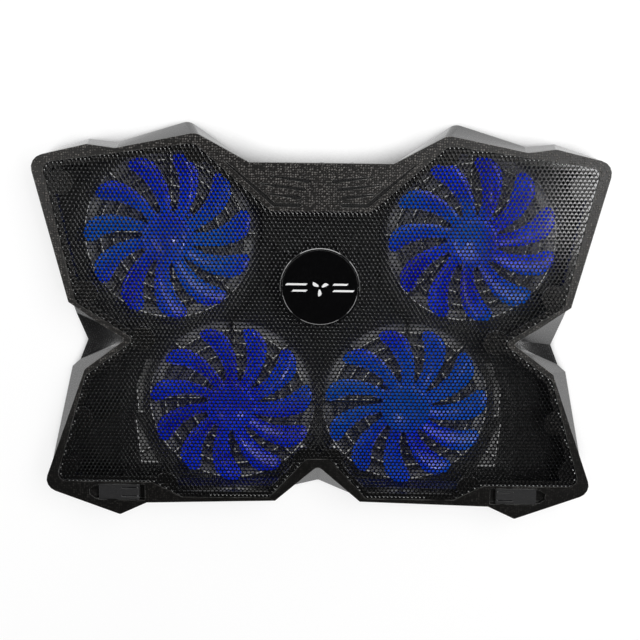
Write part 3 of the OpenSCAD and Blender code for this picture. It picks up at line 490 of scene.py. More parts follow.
# Each finish's edge colour and its amount paint edge wear together with a painted highlight along the edges
finishes = {
    "frame": {"colour": (0.008, 0.0075, 0.0072), "pale": (0.14, 0.13, 0.12), "edgeWearAndHighlightColour": (0.3, 0.3, 0.29),
              "roughness": 0.3, "roughSpread": 0.1, "grain": 1.6, "spot": 0.5, "speckle": 0.75, "bump": 0.9,
              "wearAndHighlight": 0.6, "dust": 0.1, "fade": (-0.09, -0.02), "grooves": True, "shine": 0.32},
    "shell": {"colour": (0.01, 0.01, 0.0105), "pale": (0.025, 0.025, 0.026), "edgeWearAndHighlightColour": (0.15, 0.15, 0.15),
              "roughness": 0.22, "roughSpread": 0.1, "grain": 0.8, "speckle": 0.2, "bump": 0.15, "wearAndHighlight": 0.4,
              "dust": 0.06, "ior": 1.75, "coat": 0.9, "shadedAndMattBelow": 20 * mm},
    "stopper": {"colour": (0.02, 0.02, 0.021), "pale": (0.05, 0.05, 0.05), "edgeWearAndHighlightColour": (0.2, 0.2, 0.2),
                "roughness": 0.34, "roughSpread": 0.15, "grain": 0.8, "speckle": 0.2, "bump": 0.3,
                "wearAndHighlight": 0.6},
    "leg": {"colour": (0.016, 0.016, 0.017), "pale": (0.05, 0.05, 0.05), "edgeWearAndHighlightColour": (0.15, 0.15, 0.15),
            "roughness": 0.38, "roughSpread": 0.15, "grain": 0.9, "speckle": 0.2, "bump": 0.4, "wearAndHighlight": 0.5},
    "button": {"colour": (0.008, 0.008, 0.009), "pale": (0.02, 0.02, 0.02), "edgeWearAndHighlightColour": (0.1, 0.1, 0.1),
               "roughness": 0.12, "roughSpread": 0.08, "grain": 0.5, "speckle": 0.2, "bump": 0.1, "wearAndHighlight": 0.3,
               "coat": 0.6},
    "inner": {"colour": (0.01, 0.01, 0.011), "pale": (0.03, 0.03, 0.03), "edgeWearAndHighlightColour": (0.08, 0.08, 0.08),
              "roughness": 0.42, "roughSpread": 0.15, "grain": 0.6, "speckle": 0.2, "bump": 0.4, "wearAndHighlight": 0.2},
    "magnet": {"colour": (0.03, 0.03, 0.033), "pale": (0.08, 0.08, 0.08), "edgeWearAndHighlightColour": (0.2, 0.2, 0.2),
               "roughness": 0.5, "roughSpread": 0.2, "grain": 0.3, "speckle": 0.4, "bump": 0.6, "wearAndHighlight": 0.2},
    "rubber": {"colour": (0.01, 0.01, 0.01), "pale": (0.028, 0.028, 0.028), "edgeWearAndHighlightColour": (0.06, 0.06, 0.06),
               "roughness": 0.68, "roughSpread": 0.2, "grain": 0.4, "speckle": 0.4, "bump": 0.5, "wearAndHighlight": 0.2,
               "dust": 0.4},
    "lead": {"colour": (0.012, 0.012, 0.013), "pale": (0.025, 0.025, 0.025), "edgeWearAndHighlightColour": (0.06, 0.06, 0.06),
             "roughness": 0.4, "roughSpread": 0.15, "grain": 0.5, "speckle": 0.2, "bump": 0.3, "wearAndHighlight": 0.1},
    "board": {"colour": (0.008, 0.08, 0.03), "pale": (0.02, 0.17, 0.07), "edgeWearAndHighlightColour": (0.3, 0.35, 0.2),
              "roughness": 0.28, "roughSpread": 0.15, "grain": 1.2, "speckle": 0.3, "bump": 0.15, "wearAndHighlight": 0.2},
    "mark": {"colour": (0.75, 0.75, 0.75), "pale": (0.85, 0.85, 0.85), "edgeWearAndHighlightColour": (0.9, 0.9, 0.9),
             "roughness": 0.35, "roughSpread": 0.1, "grain": 0.5, "speckle": 0.03, "bump": 0.1, "wearAndHighlight": 0.0,
             "dust": 0.0},
}
metals = {
    "steel": {"colour": (0.6, 0.6, 0.62), "roughness": 0.18, "stretch": (1500, 1500, 120)},
    "nickel": {"colour": (0.68, 0.67, 0.63), "roughness": 0.22, "stretch": (200, 1800, 200)},
    "brass": {"colour": (0.55, 0.38, 0.16), "roughness": 0.4, "stretch": (1800, 1800, 1800)},
    "gold": {"colour": (0.85, 0.6, 0.25), "roughness": 0.2, "stretch": (900, 300, 900)},
    "zinc": {"colour": (0.06, 0.06, 0.065), "roughness": 0.3, "stretch": (1200, 1200, 1200), "metallic": 0.8},
}
paint = {name: mouldedPlastic(name + " plastic", look) for name, look in finishes.items()}
paint.update({name: metalFinish(name + " metal", look) for name, look in metals.items()})
paint["panel"] = paintedPanel("panel paint", panelPaint)
paint["blade"] = bladePlastic("blade plastic", bladeLook)
paint["gloss"] = glossBlack("badge gloss", (0.0015, 0.0015, 0.0017))
paint["led"] = glowingLens("led lens", (0.03, 0.12, 0.9), 0.35)
print("materials ready")


def addObject(name, mesh, mat=None):
    obj = bpy.data.objects.new(name, mesh)
    bpy.context.scene.collection.objects.link(obj)
    if mat:
        mesh.materials.clear()
        mesh.materials.append(mat)
    return obj


def meshFrom(name, verts, faces):
    mesh = bpy.data.meshes.new(name)
    mesh.from_pydata([tuple(v) for v in verts], [], faces)
    mesh.update()
    return mesh


def finishMesh(obj, smoothAngle=40.0):
    bm = bmesh.new()
    bm.from_mesh(obj.data)
    bmesh.ops.remove_doubles(bm, verts=bm.verts, dist=1e-6)
    bmesh.ops.recalc_face_normals(bm, faces=bm.faces)
    limit = math.radians(smoothAngle)
    for face in bm.faces:
        face.smooth = True
    for edge in bm.edges:
        edge.smooth = len(edge.link_faces) == 2 and edge.calc_face_angle(0) < limit
    bm.to_mesh(obj.data)
    bm.free()


def bake(obj):
    graph = bpy.context.evaluated_depsgraph_get()
    mesh = bpy.data.meshes.new_from_object(obj.evaluated_get(graph), depsgraph=graph)
    obj.modifiers.clear()
    old = obj.data
    obj.data = mesh
    bpy.data.meshes.remove(old)


# A merged copy of a CAD node, its flat faces joined and its edges rounded
def roundedCopy(node, name, width, angle=28.0):
    bm = bmesh.new()
    bm.from_mesh(cadNodes[node].data)
    bmesh.ops.remove_doubles(bm, verts=bm.verts, dist=2e-6)
    bmesh.ops.dissolve_limit(bm, angle_limit=math.radians(0.6), verts=bm.verts, edges=bm.edges)
    mesh = bpy.data.meshes.new(name)
    bm.to_mesh(mesh)
    bm.free()
    obj = addObject(name, mesh)
    bevel = obj.modifiers.new("edges", "BEVEL")
    bevel.width = width
    bevel.segments = 2
    bevel.limit_method = "ANGLE"
    bevel.angle_limit = math.radians(angle)
    bake(obj)
    finishMesh(obj, 32.0)
    level = obj.modifiers.new("level faces", "WEIGHTED_NORMAL")
    level.keep_sharp = True
    bake(obj)
    return obj


def settle(obj, body, mat, slot, *replaced):
    obj.data.materials.clear()
    obj.data.materials.append(mat)
    for polygon in obj.data.polygons:
        polygon.material_index = 0
    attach(obj, body)
    if replaced:
        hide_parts(*replaced)


def repaint(node, mat):
    slots = cadNodes[node].material_slots
    if slots:
        for slot in slots:
            slot.material = mat
    else:
        cadNodes[node].data.materials.append(mat)


def perforationTree():
    tree, given, out = startGroup("perforation", "GeometryNodeTree", [
        ("Sheet", "NodeSocketGeometry", None), ("Outline", "NodeSocketObject", None),
        ("Pitch", "NodeSocketFloat", panel["pitch"]), ("Hole diameter", "NodeSocketFloat", panel["hole"]),
        ("Solid rim", "NodeSocketFloat", panel["rim"]), ("Columns", "NodeSocketInt", panel["columns"]),
        ("Rows", "NodeSocketInt", panel["rows"]), ("Dish centre", "NodeSocketVector", None),
        ("Dish depth", "NodeSocketFloat", panel["dishDepth"]), ("Dish start", "NodeSocketFloat", 0.0),
        ("Dish end", "NodeSocketFloat", 0.0), ("Material", "NodeSocketMaterial", None)],
        [("Panel", "NodeSocketGeometry")])
    rowStep = calc(tree, "MULTIPLY", given["Pitch"], math.sqrt(3) / 2)
    wide = calc(tree, "MULTIPLY", given["Pitch"], calc(tree, "SUBTRACT", given["Columns"], 1.0))
    deep = calc(tree, "MULTIPLY", rowStep, calc(tree, "SUBTRACT", given["Rows"], 1.0))
    grid = put(tree, "GeometryNodeMeshGrid", {"Size X": wide, "Size Y": deep, "Vertices X": given["Columns"],
                                              "Vertices Y": given["Rows"]}).outputs["Mesh"]
    index = put(tree, "GeometryNodeInputIndex").outputs[0]
    odd = calc(tree, "MODULO", calc(tree, "MODULO", index, given["Rows"]), 2.0)
    slide = put(tree, "ShaderNodeCombineXYZ", {"X": calc(tree, "MULTIPLY", odd,
                                                         calc(tree, "MULTIPLY", given["Pitch"], 0.5)),
                                               "Z": middle("mesh_panel").z})
    staggered = put(tree, "GeometryNodeSetPosition", {"Geometry": grid, "Offset": slide.outputs[0]})
    outline = put(tree, "GeometryNodeObjectInfo", {"Object": given["Outline"]}).outputs["Geometry"]
    away = put(tree, "GeometryNodeProximity", {0: outline}, target_element="FACES").outputs["Distance"]
    keepOff = calc(tree, "MULTIPLY_ADD", given["Hole diameter"], 0.5, given["Solid rim"])
    clear = put(tree, "FunctionNodeCompare", {0: away, 1: keepOff}, data_type="FLOAT",
                operation="GREATER_THAN")
    radius = calc(tree, "MULTIPLY", given["Hole diameter"], 0.5)
    punch = put(tree, "GeometryNodeMeshCylinder", {"Vertices": 12, "Depth": 4 * mm, "Radius": radius})
    holes = put(tree, "GeometryNodeInstanceOnPoints", {"Points": staggered.outputs[0],
                                                       "Selection": clear.outputs[0],
                                                       "Instance": punch.outputs["Mesh"]}).outputs[0]
    cutters = put(tree, "GeometryNodeRealizeInstances", {"Geometry": holes}).outputs[0]
    pierced = put(tree, "GeometryNodeMeshBoolean", {0: given["Sheet"], 1: cutters}, operation="DIFFERENCE",
                  solver="MANIFOLD").outputs["Mesh"]
    here = put(tree, "GeometryNodeInputPosition").outputs[0]
    flatten = put(tree, "ShaderNodeVectorMath", {0: here, 1: (1, 1, 0)}, operation="MULTIPLY").outputs[0]
    reach = put(tree, "ShaderNodeVectorMath", {0: flatten, 1: given["Dish centre"]},
                operation="DISTANCE").outputs["Value"]
    inward = put(tree, "ShaderNodeMapRange", {"Value": reach, "From Min": given["Dish start"],
                                              "From Max": given["Dish end"], "To Min": 0.0,
                                              "To Max": math.pi * 2}).outputs[0]
    wave = calc(tree, "MULTIPLY_ADD", calc(tree, "COSINE", inward), -0.5, 0.5)
    sink = put(tree, "ShaderNodeCombineXYZ", {"Z": calc(tree, "MULTIPLY", wave,
                                                        calc(tree, "MULTIPLY", given["Dish depth"], -1.0))})
    dished = put(tree, "GeometryNodeSetPosition", {"Geometry": pierced, "Offset": sink.outputs[0]}).outputs[0]
    whole = put(tree, "GeometryNodeRealizeInstances", {"Geometry": dished}).outputs[0]
    painted = put(tree, "GeometryNodeSetMaterial", {"Geometry": whole, "Material": given["Material"]})
    tree.links.new(painted.outputs[0], out["Panel"])
    return tree


def nodesModifier(obj, tree, values):
    modifier = obj.modifiers.new(tree.name, "NODES")
    modifier.node_group = tree
    sockets = {item.name: item.identifier for item in tree.interface.items_tree
               if item.item_type == "SOCKET" and item.in_out == "INPUT"}
    for label, value in values.items():
        modifier[sockets[label]] = value


def quarterSheet(name, sideX, sideY):
    bm = bmesh.new()
    bm.from_mesh(cadNodes["mesh_panel"].data)
    bmesh.ops.remove_doubles(bm, verts=bm.verts, dist=2e-6)
    for normal in ((-sideX, 0, 0), (0, -sideY, 0)):
        cut = bmesh.ops.bisect_plane(bm, geom=bm.verts[:] + bm.edges[:] + bm.faces[:], dist=1e-7,
                                     plane_co=(0, 0, 0), plane_no=normal, clear_outer=True)
        rim = [item for item in cut["geom_cut"] if isinstance(item, bmesh.types.BMEdge)]
        bmesh.ops.holes_fill(bm, edges=rim, sides=0)
    bmesh.ops.recalc_face_normals(bm, faces=bm.faces)
    mesh = bpy.data.meshes.new(name)
    bm.to_mesh(mesh)
    bm.free()
    return addObject(name, mesh)


# The upright edge faces of the sheet, from which the holes keep their distance
def sheetEdge():
    bm = bmesh.new()
    bm.from_mesh(cadNodes["mesh_panel"].data)
    flat = [face for face in bm.faces if abs(face.normal.z) > 0.5]
    bmesh.ops.delete(bm, geom=flat, context="FACES")
    mesh = bpy.data.meshes.new("sheet edge")
    bm.to_mesh(mesh)
    bm.free()
    return addObject("sheet edge", mesh)


def makePanel():
    tree = perforationTree()
    edge = sheetEdge()
    centre = middle("badge")
    for rear in (1, -1):
        for side in (-1, 1):
            name = "mesh_panel_%s_%s" % ("rear" if rear > 0 else "front", "left" if side < 0 else "right")
            obj = quarterSheet(name, side, rear)
            nodesModifier(obj, tree, {
                "Outline": edge, "Pitch": panel["pitch"], "Hole diameter": panel["hole"],
                "Solid rim": panel["rim"], "Columns": panel["columns"], "Rows": panel["rows"],
                "Dish centre": (centre.x, centre.y, 0.0), "Dish depth": panel["dishDepth"],
                "Dish start": panel["dishStart"], "Dish end": panel["dishEnd"], "Material": paint["panel"]})
            bake(obj)
            settle(obj, "pad", paint["panel"], "panel_steel", "mesh_panel")
            print(name, len(obj.data.polygons), "faces")
    bpy.data.objects.remove(edge)


makePanel()
print("panel ready")


# Body, finish, material slot and edge rounding of each moulded piece
moulded = {
    "top_frame": ("pad", "frame", "frame_plastic", 0.35 * mm),
    "bottom_shell": ("pad", "shell", "shell_plastic", 0.3 * mm),
    "stopper_left": ("stopper_left", "stopper", "stopper_plastic", 0.3 * mm),
    "stopper_right": ("stopper_right", "stopper", "stopper_plastic", 0.3 * mm),
    "leg_left": ("leg_left", "leg", "leg_plastic", 0.5 * mm),
    "leg_right": ("leg_right", "leg", "leg_plastic", 0.5 * mm),
    "button_left": ("button_left", "button", "button_plastic", 0.15 * mm),
    "button_right": ("button_right", "button", "button_plastic", 0.15 * mm),
}
for node, (body, finish, slot, width) in moulded.items():
    piece = roundedCopy(node, node + "_moulding", width)
    settle(piece, body, paint[finish], slot, node)
    print(piece.name, len(piece.data.polygons), "faces")
print("mouldings ready")


# Angles in degrees; half is a blade's half angle seen from the shaft, start where its first blade stands
fan = {"blades": 11, "hubRadius": 17.0 * mm, "tipRadius": 57.3 * mm, "sweep": 19.0, "half": 10.0,
       "rootPitch": 24.0, "tipPitch": 13.0, "thick": 1.5 * mm, "camber": 1.6 * mm, "level": 5.4 * mm,
       "start": {"rear_left": 28.5, "rear_right": 0.7, "front_left": 23.4, "front_right": 21.4}}


def bladeHalf(t):
    tip = 1.0 if t < 0.8 else math.sqrt(max(0.0, 1 - ((t - 0.8) / 0.205) ** 2))
    return math.radians(fan["half"] * max(tip, 0.06) + fan["half"] / 2 * (1 - t) ** 8)


# Top or bottom of a blade at share t along it and s across it, from -1 to 1
def bladePoint(t, s, up, level):
    radius = fan["hubRadius"] - 1 * mm + t * (fan["tipRadius"] - fan["hubRadius"] + 1 * mm)
    half = bladeHalf(t)
    angle = math.radians(fan["sweep"]) * t ** 1.6 + s * half
    pitch = math.radians(fan["rootPitch"] + (fan["tipPitch"] - fan["rootPitch"]) * t)
    swell = (1 - s * s) * min(1.0, radius * half / (8 * mm))
    z = -s * half * radius * math.tan(pitch) + fan["camber"] * swell
    skin = fan["thick"] * 0.5 * math.sqrt(max(0.0, 1 - abs(s) ** 3)) * (1 - 0.35 * t)
    return Vector((radius * math.cos(angle), radius * math.sin(angle), level + z + up * skin))


def bladeMesh(level):
    along, across = 22, 12
    ts = [1 - (1 - i / along) ** 1.35 for i in range(along + 1)]
    ss = [math.sin(math.radians(-90 + 180 * j / across)) for j in range(across + 1)]
    verts, faces = [], []
    for up in (1, -1):
        verts += [bladePoint(t, s, up, level) for t in ts for s in ss]
    row = across + 1
    back = (along + 1) * row
    for i in range(along):
        for j in range(across):
            a = i * row + j
            faces.append((a, a + row, a + row + 1, a + 1))
            faces.append((back + a, back + a + 1, back + a + row + 1, back + a + row))
        for j, turn in ((0, False), (across, True)):
            a = i * row + j
            ring = (a, back + a, back + a + row, a + row)
            faces.append(ring[::-1] if turn else ring)
    for i, turn in ((0, True), (along, False)):
        for j in range(across):
            a = i * row + j
            ring = (a, back + a, back + a + 1, a + 1)
            faces.append(ring[::-1] if not turn else ring)
    obj = addObject("blade", meshFrom("blade", verts, faces))
    finishMesh(obj, 50.0)
    return obj


# A closed ring or cup from a profile of radius and height, turned about the upright axis
def turned(name, profile, steps=96):
    verts, faces = [], []
    count = len(profile)
    for k in range(steps):
        angle = 2 * math.pi * k / steps
        verts += [(r * math.cos(angle), r * math.sin(angle), z) for r, z in profile]
    for k in range(steps):
        after = (k + 1) % steps
        for i in range(count - 1):
            faces.append((k * count + i, after * count + i, after * count + i + 1, k * count + i + 1))
    mesh = meshFrom(name, verts, faces)
    bm = bmesh.new()
    bm.from_mesh(mesh)
    bmesh.ops.remove_doubles(bm, verts=bm.verts, dist=1e-6)
    bmesh.ops.recalc_face_normals(bm, faces=bm.faces)
    bm.to_mesh(mesh)
    bm.free()
    return mesh


def hubObject(low, high):
    r, wall, soft = fan["hubRadius"], 1.6 * mm, 1.2 * mm
    arc = [(r - soft + soft * math.sin(math.radians(a)), high - soft + soft * math.cos(math.radians(a)))
           for a in range(0, 91, 18)]
    profile = [(0, high - 0.25 * mm), (9 * mm, high - 0.25 * mm), (9.4 * mm, high)] + arc
    profile += [(r, low + 0.3 * mm), (r - 0.3 * mm, low), (r - wall, low), (r - wall, high - wall),
                (4.2 * mm, high - wall), (4.0 * mm, high - wall - 2 * mm), (1.5 * mm, high - wall - 2 * mm),
                (1.5 * mm, high - wall), (0, high - wall)]
    obj = addObject("hub", turned("hub", profile, 88))
    finishMesh(obj, 35.0)
    return obj


def impellerTree():
    tree, given, out = startGroup("impeller", "GeometryNodeTree", [
        ("Hub", "NodeSocketGeometry", None), ("Blade", "NodeSocketObject", None),
        ("Blades", "NodeSocketInt", fan["blades"]), ("Start angle", "NodeSocketFloat", 0.0),
        ("Centre", "NodeSocketVector", None), ("Material", "NodeSocketMaterial", None)],
        [("Impeller", "NodeSocketGeometry")])
    points = put(tree, "GeometryNodeMeshLine", {"Count": given["Blades"], "Offset": (0, 0, 0)}).outputs[0]
    index = put(tree, "GeometryNodeInputIndex").outputs[0]
    step = calc(tree, "DIVIDE", 2 * math.pi, given["Blades"])
    turn = put(tree, "ShaderNodeCombineXYZ", {"Z": calc(tree, "MULTIPLY", index, step)}).outputs[0]
    blade = put(tree, "GeometryNodeObjectInfo", {"Object": given["Blade"]}).outputs["Geometry"]
    ring = put(tree, "GeometryNodeInstanceOnPoints", {"Points": points, "Instance": blade,
                                                      "Rotation": turn}).outputs[0]
    both = put(tree, "GeometryNodeJoinGeometry")
    tree.links.new(given["Hub"], both.inputs[0])
    tree.links.new(ring, both.inputs[0])
    angle = put(tree, "ShaderNodeCombineXYZ", {"Z": given["Start angle"]}).outputs[0]
    placed = put(tree, "GeometryNodeTransform", {"Geometry": both.outputs[0], "Translation": given["Centre"],
                                                 "Rotation": angle}).outputs[0]
    whole = put(tree, "GeometryNodeRealizeInstances", {"Geometry": placed}).outputs[0]
    tree.links.new(put(tree, "GeometryNodeSetMaterial", {"Geometry": whole, "Material": given["Material"]})
                   .outputs[0], out["Impeller"])
    return tree


def makeImpellers():
    tree = impellerTree()
    low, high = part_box("impeller_rear_left")
    blade = bladeMesh(low.z + fan["level"])
    for name in fanNames:
        centre = middle("fan_shaft_" + name)
        obj = hubObject(low.z, high.z)
        obj.name = "impeller_" + name + "_moulding"
        nodesModifier(obj, tree, {"Blade": blade, "Blades": fan["blades"],
                                  "Start angle": math.radians(fan["start"][name]),
                                  "Centre": (centre.x, centre.y, 0.0), "Material": paint["blade"]})
        bake(obj)
        settle(obj, "fan_" + name, paint["blade"], "fan_blue", "impeller_" + name)
    bpy.data.objects.remove(blade)


makeImpellers()
print("impellers ready")


badgeLook = {"rimWidth": 0.9 * mm, "rimRise": 0.22 * mm, "chamfer": 0.55 * mm, "markRise": 0.12 * mm,
             "bladeLength": 6.2 * mm, "barLength": 15.0 * mm, "barWidth": 2.2 * mm, "barStart": 8.4 * mm}


def shiftMesh(mesh, offset):
    mesh.transform(Matrix.Translation(offset))


# Flat shapes given as outlines, raised into thin closed pieces
def raisedShapes(name, outlines, low, high):
    bm = bmesh.new()
    for outline in outlines:
        face = bm.faces.new([bm.verts.new((x, y, low)) for x, y in outline])
        up = bmesh.ops.extrude_face_region(bm, geom=[face])["geom"]
        bmesh.ops.translate(bm, verts=[v for v in up if isinstance(v, bmesh.types.BMVert)],
                            vec=(0, 0, high - low))
    bmesh.ops.recalc_face_normals(bm, faces=bm.faces)
    mesh = bpy.data.meshes.new(name)
    bm.to_mesh(mesh)
    bm.free()
    return addObject(name, mesh)


# A little three-bladed fan between two slanted bars
def markOutlines():
    outlines = []
    reach = badgeLook["bladeLength"]
    for turn in range(3):
        spin = Matrix.Rotation(math.radians(120 * turn + 20), 2)
        lead = [(reach * t, reach * 0.5 * math.sin(math.pi * t) ** 0.8 * t) for t in
                (0.22, 0.35, 0.5, 0.65, 0.8, 0.92, 1.0)]
        trail = [(reach * t, -reach * 0.1 * math.sin(math.pi * t)) for t in (0.85, 0.6, 0.4, 0.22)]
        outlines.append([tuple(spin @ Vector(point)) for point in lead + trail])
    start, long, half = badgeLook["barStart"], badgeLook["barLength"], badgeLook["barWidth"] / 2
    for side in (1, -1):
        for row, share in ((-1.25, 1.0), (1.25, 0.72)):
            y = side * row * badgeLook["barWidth"] * 0.8
            ends = [(start + half, y + half * 0.6), (start, y - half * 0.6),
                    (start + long * share - half, y - half * 0.6), (start + long * share, y + half * 0.6)]
            outlines.append([(side * x, side * (yy - y) + y) for x, yy in ends])
    return outlines


def makeBadge():
    low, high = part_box("badge")
    sheetLow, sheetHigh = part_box("mesh_panel")
    centre = middle("badge")
    r = (high.x - low.x) / 2
    neck = r - 4.6 * mm
    dish = high.z - badgeLook["rimRise"]
    inner = r - badgeLook["chamfer"] - badgeLook["rimWidth"]
    profile = [(0, dish), (inner - 0.5 * mm, dish), (inner - 0.15 * mm, dish + 0.06 * mm), (inner, high.z),
               (r - badgeLook["chamfer"], high.z), (r - 0.12 * mm, high.z - 0.42 * mm),
               (r, high.z - 0.6 * mm), (r, sheetHigh.z), (neck, sheetHigh.z), (neck, sheetLow.z),
               (0, sheetLow.z)]
    badge = addObject("badge_turned", turned("badge_turned", profile, 128))
    finishMesh(badge, 25.0)
    shiftMesh(badge.data, (centre.x, centre.y, 0))
    settle(badge, "pad", paint["gloss"], "badge_gloss", "badge")
    mark = raisedShapes("badge_mark", markOutlines(), dish - 0.02 * mm, dish + badgeLook["markRise"])
    shiftMesh(mark.data, (centre.x, centre.y, 0))
    settle(mark, "pad", paint["mark"], "badge_gloss")


makeBadge()
print("badge ready")


# Where each loose solid of a CAD node stands: its middle in plan, its lowest and highest height
def standsOf(node):
    bm = bmesh.new()
    bm.from_mesh(cadNodes[node].data)
    bmesh.ops.remove_doubles(bm, verts=bm.verts, dist=2e-6)
    left = set(bm.verts)
    stands = []
    while left:
        island, edge = set(), [left.pop()]
        while edge:
            vert = edge.pop()
            island.add(vert)
            for link in vert.link_edges:
                other = link.other_vert(vert)
                if other in left:
                    left.discard(other)
                    edge.append(other)
        xs, ys, zs = zip(*[v.co for v in island])
        stands.append(((min(xs) + max(xs)) / 2, (min(ys) + max(ys)) / 2, min(zs), max(zs)))
    bm.free()
    return sorted(stands)


def copiesTree():
    tree, given, out = startGroup("copies on points", "GeometryNodeTree", [
        ("Points", "NodeSocketGeometry", None), ("Piece", "NodeSocketObject", None),
        ("Turn step", "NodeSocketFloat", 0.7), ("Material", "NodeSocketMaterial", None)],
        [("Copies", "NodeSocketGeometry")])
    index = put(tree, "GeometryNodeInputIndex").outputs[0]
    spin = put(tree, "ShaderNodeCombineXYZ", {"Z": calc(tree, "MULTIPLY", index, given["Turn step"])})
    piece = put(tree, "GeometryNodeObjectInfo", {"Object": given["Piece"]}).outputs["Geometry"]
    placed = put(tree, "GeometryNodeInstanceOnPoints", {"Points": given["Points"], "Instance": piece,
                                                        "Rotation": spin.outputs[0]}).outputs[0]
    whole = put(tree, "GeometryNodeRealizeInstances", {"Geometry": placed}).outputs[0]
    tree.links.new(put(tree, "GeometryNodeSetMaterial", {"Geometry": whole, "Material": given["Material"]})
                   .outputs[0], out["Copies"])
    return tree


copies = copiesTree()


def placeCopies(name, piece, points, turnStep, body, finish, slot, *replaced):
    obj = addObject(name, meshFrom(name, points, []))
    nodesModifier(obj, copies, {"Piece": piece, "Turn step": turnStep, "Material": paint[finish]})
    bake(obj)
    bpy.data.objects.remove(piece)
    settle(obj, body, paint[finish], slot, *replaced)


# headUp: the head is at the top end of the CAD screw; turnStep: turn from one screw to the next
screws = {
    "housing": {"headRadius": 2.65 * mm, "headHeight": 2.2 * mm, "shankRadius": 1.2 * mm,
                "headUp": False, "turnStep": 0.7, "finish": "zinc", "slot": "screw_steel"},
    "fan": {"headRadius": 1.95 * mm, "headHeight": 0.8 * mm, "shankRadius": 1.05 * mm,
            "headUp": True, "turnStep": 1.1, "finish": "zinc", "slot": "screw_steel"},
    "board": {"headRadius": 2.15 * mm, "headHeight": 1.4 * mm, "shankRadius": 0.95 * mm,
              "headUp": True, "turnStep": 0.5, "finish": "steel", "slot": "steel"},
}


def cutFrom(obj, cutter):
    cut = obj.modifiers.new("cut", "BOOLEAN")
    cut.operation = "DIFFERENCE"
    cut.solver = "MANIFOLD"
    cut.object = cutter
    bake(obj)
    bpy.data.objects.remove(cutter)
    finishMesh(obj, 30.0)


# A plus shape, width being that of one slot and arm its length
def crossCutter(width, arm, depth, top):
    a, b = width / 2, arm / 2
    outline = [(a, b), (-a, b), (-a, a), (-b, a), (-b, -a), (-a, -a), (-a, -b), (a, -b), (a, -a), (b, -a),
               (b, a), (a, a)]
    return raisedShapes("cross", [outline], top - depth, top + depth)


# The underside of the head lies at height 0 and the shank hangs below it
def screwPiece(headRadius, headHeight, shankRadius, length):
    bends = [math.radians(degrees) for degrees in (0, 25, 45, 62, 77, 90)]
    dome = [(headRadius * math.sin(a) ** 0.8, headHeight * (0.55 + 0.45 * math.cos(a))) for a in bends]
    profile = dome + [(headRadius, 0.0), (shankRadius, 0.0)]
    turns = max(3, int(length / (0.9 * mm)))
    for k in range(turns):
        z = -length * (k + 0.5) / turns
        profile += [(shankRadius * 0.82, z), (shankRadius, z - length * 0.35 / turns)]
    profile += [(shankRadius * 0.5, -length), (0, -length)]
    screw = addObject("screw", turned("screw", profile, 20))
    finishMesh(screw, 35.0)
    cutFrom(screw, crossCutter(headRadius * 0.26, headRadius * 1.15, headHeight * 0.6, headHeight))
    return screw


def makeScrews():
    for name, screw in screws.items():
        stands = standsOf(name + "_screws")
        low, high = stands[0][2:]
        head = screw["headHeight"]
        piece = screwPiece(screw["headRadius"], head, screw["shankRadius"], high - low - head)
        if screw["headUp"]:
            seats = [(x, y, high - head) for x, y, low, high in stands]
        else:
            piece.data.transform(Matrix.Rotation(math.pi, 4, "X"))
            seats = [(x, y, low + head) for x, y, low, high in stands]
        placeCopies(name + "_screws_cut", piece, seats, screw["turnStep"], "pad", screw["finish"],
                    screw["slot"], name + "_screws")


footLook = {"soft": 0.5 * mm, "groove": 0.35 * mm, "rings": (2.2 * mm, 3.6 * mm)}


def makeFeet():
    stands = standsOf("rubber_feet")
    low, high = stands[0][2:]
    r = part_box("rubber_feet")[1].x - stands[-1][0]
    soft, groove = footLook["soft"], footLook["groove"]
    profile = [(0, low)]
    for ring in footLook["rings"]:
        profile += [(ring - groove, low), (ring - groove / 2, low + groove),
                    (ring + groove / 2, low + groove), (ring + groove, low)]
    profile += [(r - soft + soft * math.sin(math.radians(a)), low + soft - soft * math.cos(math.radians(a)))
                for a in (0, 30, 60, 90)]
    profile += [(r, high), (0, high)]
    foot = addObject("foot", turned("foot", profile, 48))
    finishMesh(foot, 35.0)
    placeCopies("rubber_feet_turned", foot, [(x, y, 0) for x, y, low, high in stands], 0.0,
                "pad", "rubber", "rubber", "rubber_feet")


def roundedBlock(name, low, high, soft, segments=2):
    bm = bmesh.new()
    bmesh.ops.create_cube(bm, size=1.0)
    low, high = Vector(low), Vector(high)
    bmesh.ops.scale(bm, vec=high - low, verts=bm.verts)
    bmesh.ops.translate(bm, vec=(low + high) / 2, verts=bm.verts)
    bmesh.ops.bevel(bm, geom=bm.edges[:], offset=soft, segments=segments, profile=0.5, affect="EDGES",
                    clamp_overlap=True)
    mesh = bpy.data.meshes.new(name)
    bm.to_mesh(mesh)
    bm.free()
    return addObject(name, mesh)


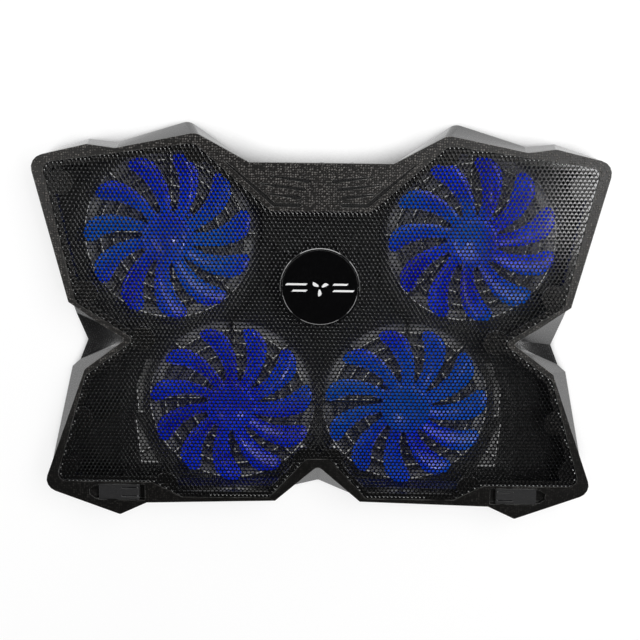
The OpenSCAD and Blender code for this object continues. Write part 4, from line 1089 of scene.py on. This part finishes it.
port = {"tongueHalf": 4.4 * mm, "tongueThick": 1.6 * mm, "setBack": 1.2 * mm, "contacts": 4,
        "contactPitch": 2.1 * mm, "contactWidth": 1.0 * mm}


def makePorts():
    for side in sideNames:
        low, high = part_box("usb_socket_" + side)
        centre = middle("usb_socket_" + side)
        shell = roundedCopy("usb_socket_" + side, "usb_socket_%s_pressed" % side, 0.25 * mm, 40.0)
        settle(shell, "pad", paint["nickel"], "socket_nickel", "usb_socket_" + side)
        top = centre.z + port["tongueThick"] * 0.9
        tongue = roundedBlock("usb_tongue_" + side,
                              (centre.x - port["tongueHalf"], low.y + 1.2 * mm, top - port["tongueThick"]),
                              (centre.x + port["tongueHalf"], high.y - port["setBack"], top), 0.2 * mm)
        finishMesh(tongue, 35.0)
        settle(tongue, "pad", paint["inner"], "inner_plastic")
        strip = roundedBlock("contact", (-port["contactWidth"] / 2, low.y + 3.0 * mm, -0.15 * mm),
                             (port["contactWidth"] / 2, high.y - port["setBack"] - 0.8 * mm, 0.08 * mm),
                             0.06 * mm, 1)
        finishMesh(strip, 35.0)
        first = centre.x - port["contactPitch"] * (port["contacts"] - 1) / 2
        spots = [(first + port["contactPitch"] * k, 0, top - port["tongueThick"])
                 for k in range(port["contacts"])]
        placeCopies("usb_contacts_" + side, strip, spots, 0.0, "pad", "gold", "socket_nickel")


makeScrews()
makeFeet()
makePorts()
print("screws, feet and ports ready")


# CAD nodes that keep their shape and only get a finish
carried = {"badge_ring": "inner", "fan_leds": "led", "control_board": "board"}
for name in fanNames:
    carried.update({"fan_shaft_" + name: "steel", "magnet_ring_" + name: "magnet",
                    "motor_base_" + name: "inner", "bush_" + name: "brass", "fan_lead_" + name: "lead"})
for name in sideNames:
    carried.update({"stopper_pin_" + name: "steel", "leg_pin_" + name: "steel", "leg_tip_" + name: "rubber",
                    "switch_" + name: "inner"})
for node, finish in carried.items():
    repaint(node, paint[finish])
print("carried pieces painted")

bpy.context.scene.view_settings.view_transform = "Standard"
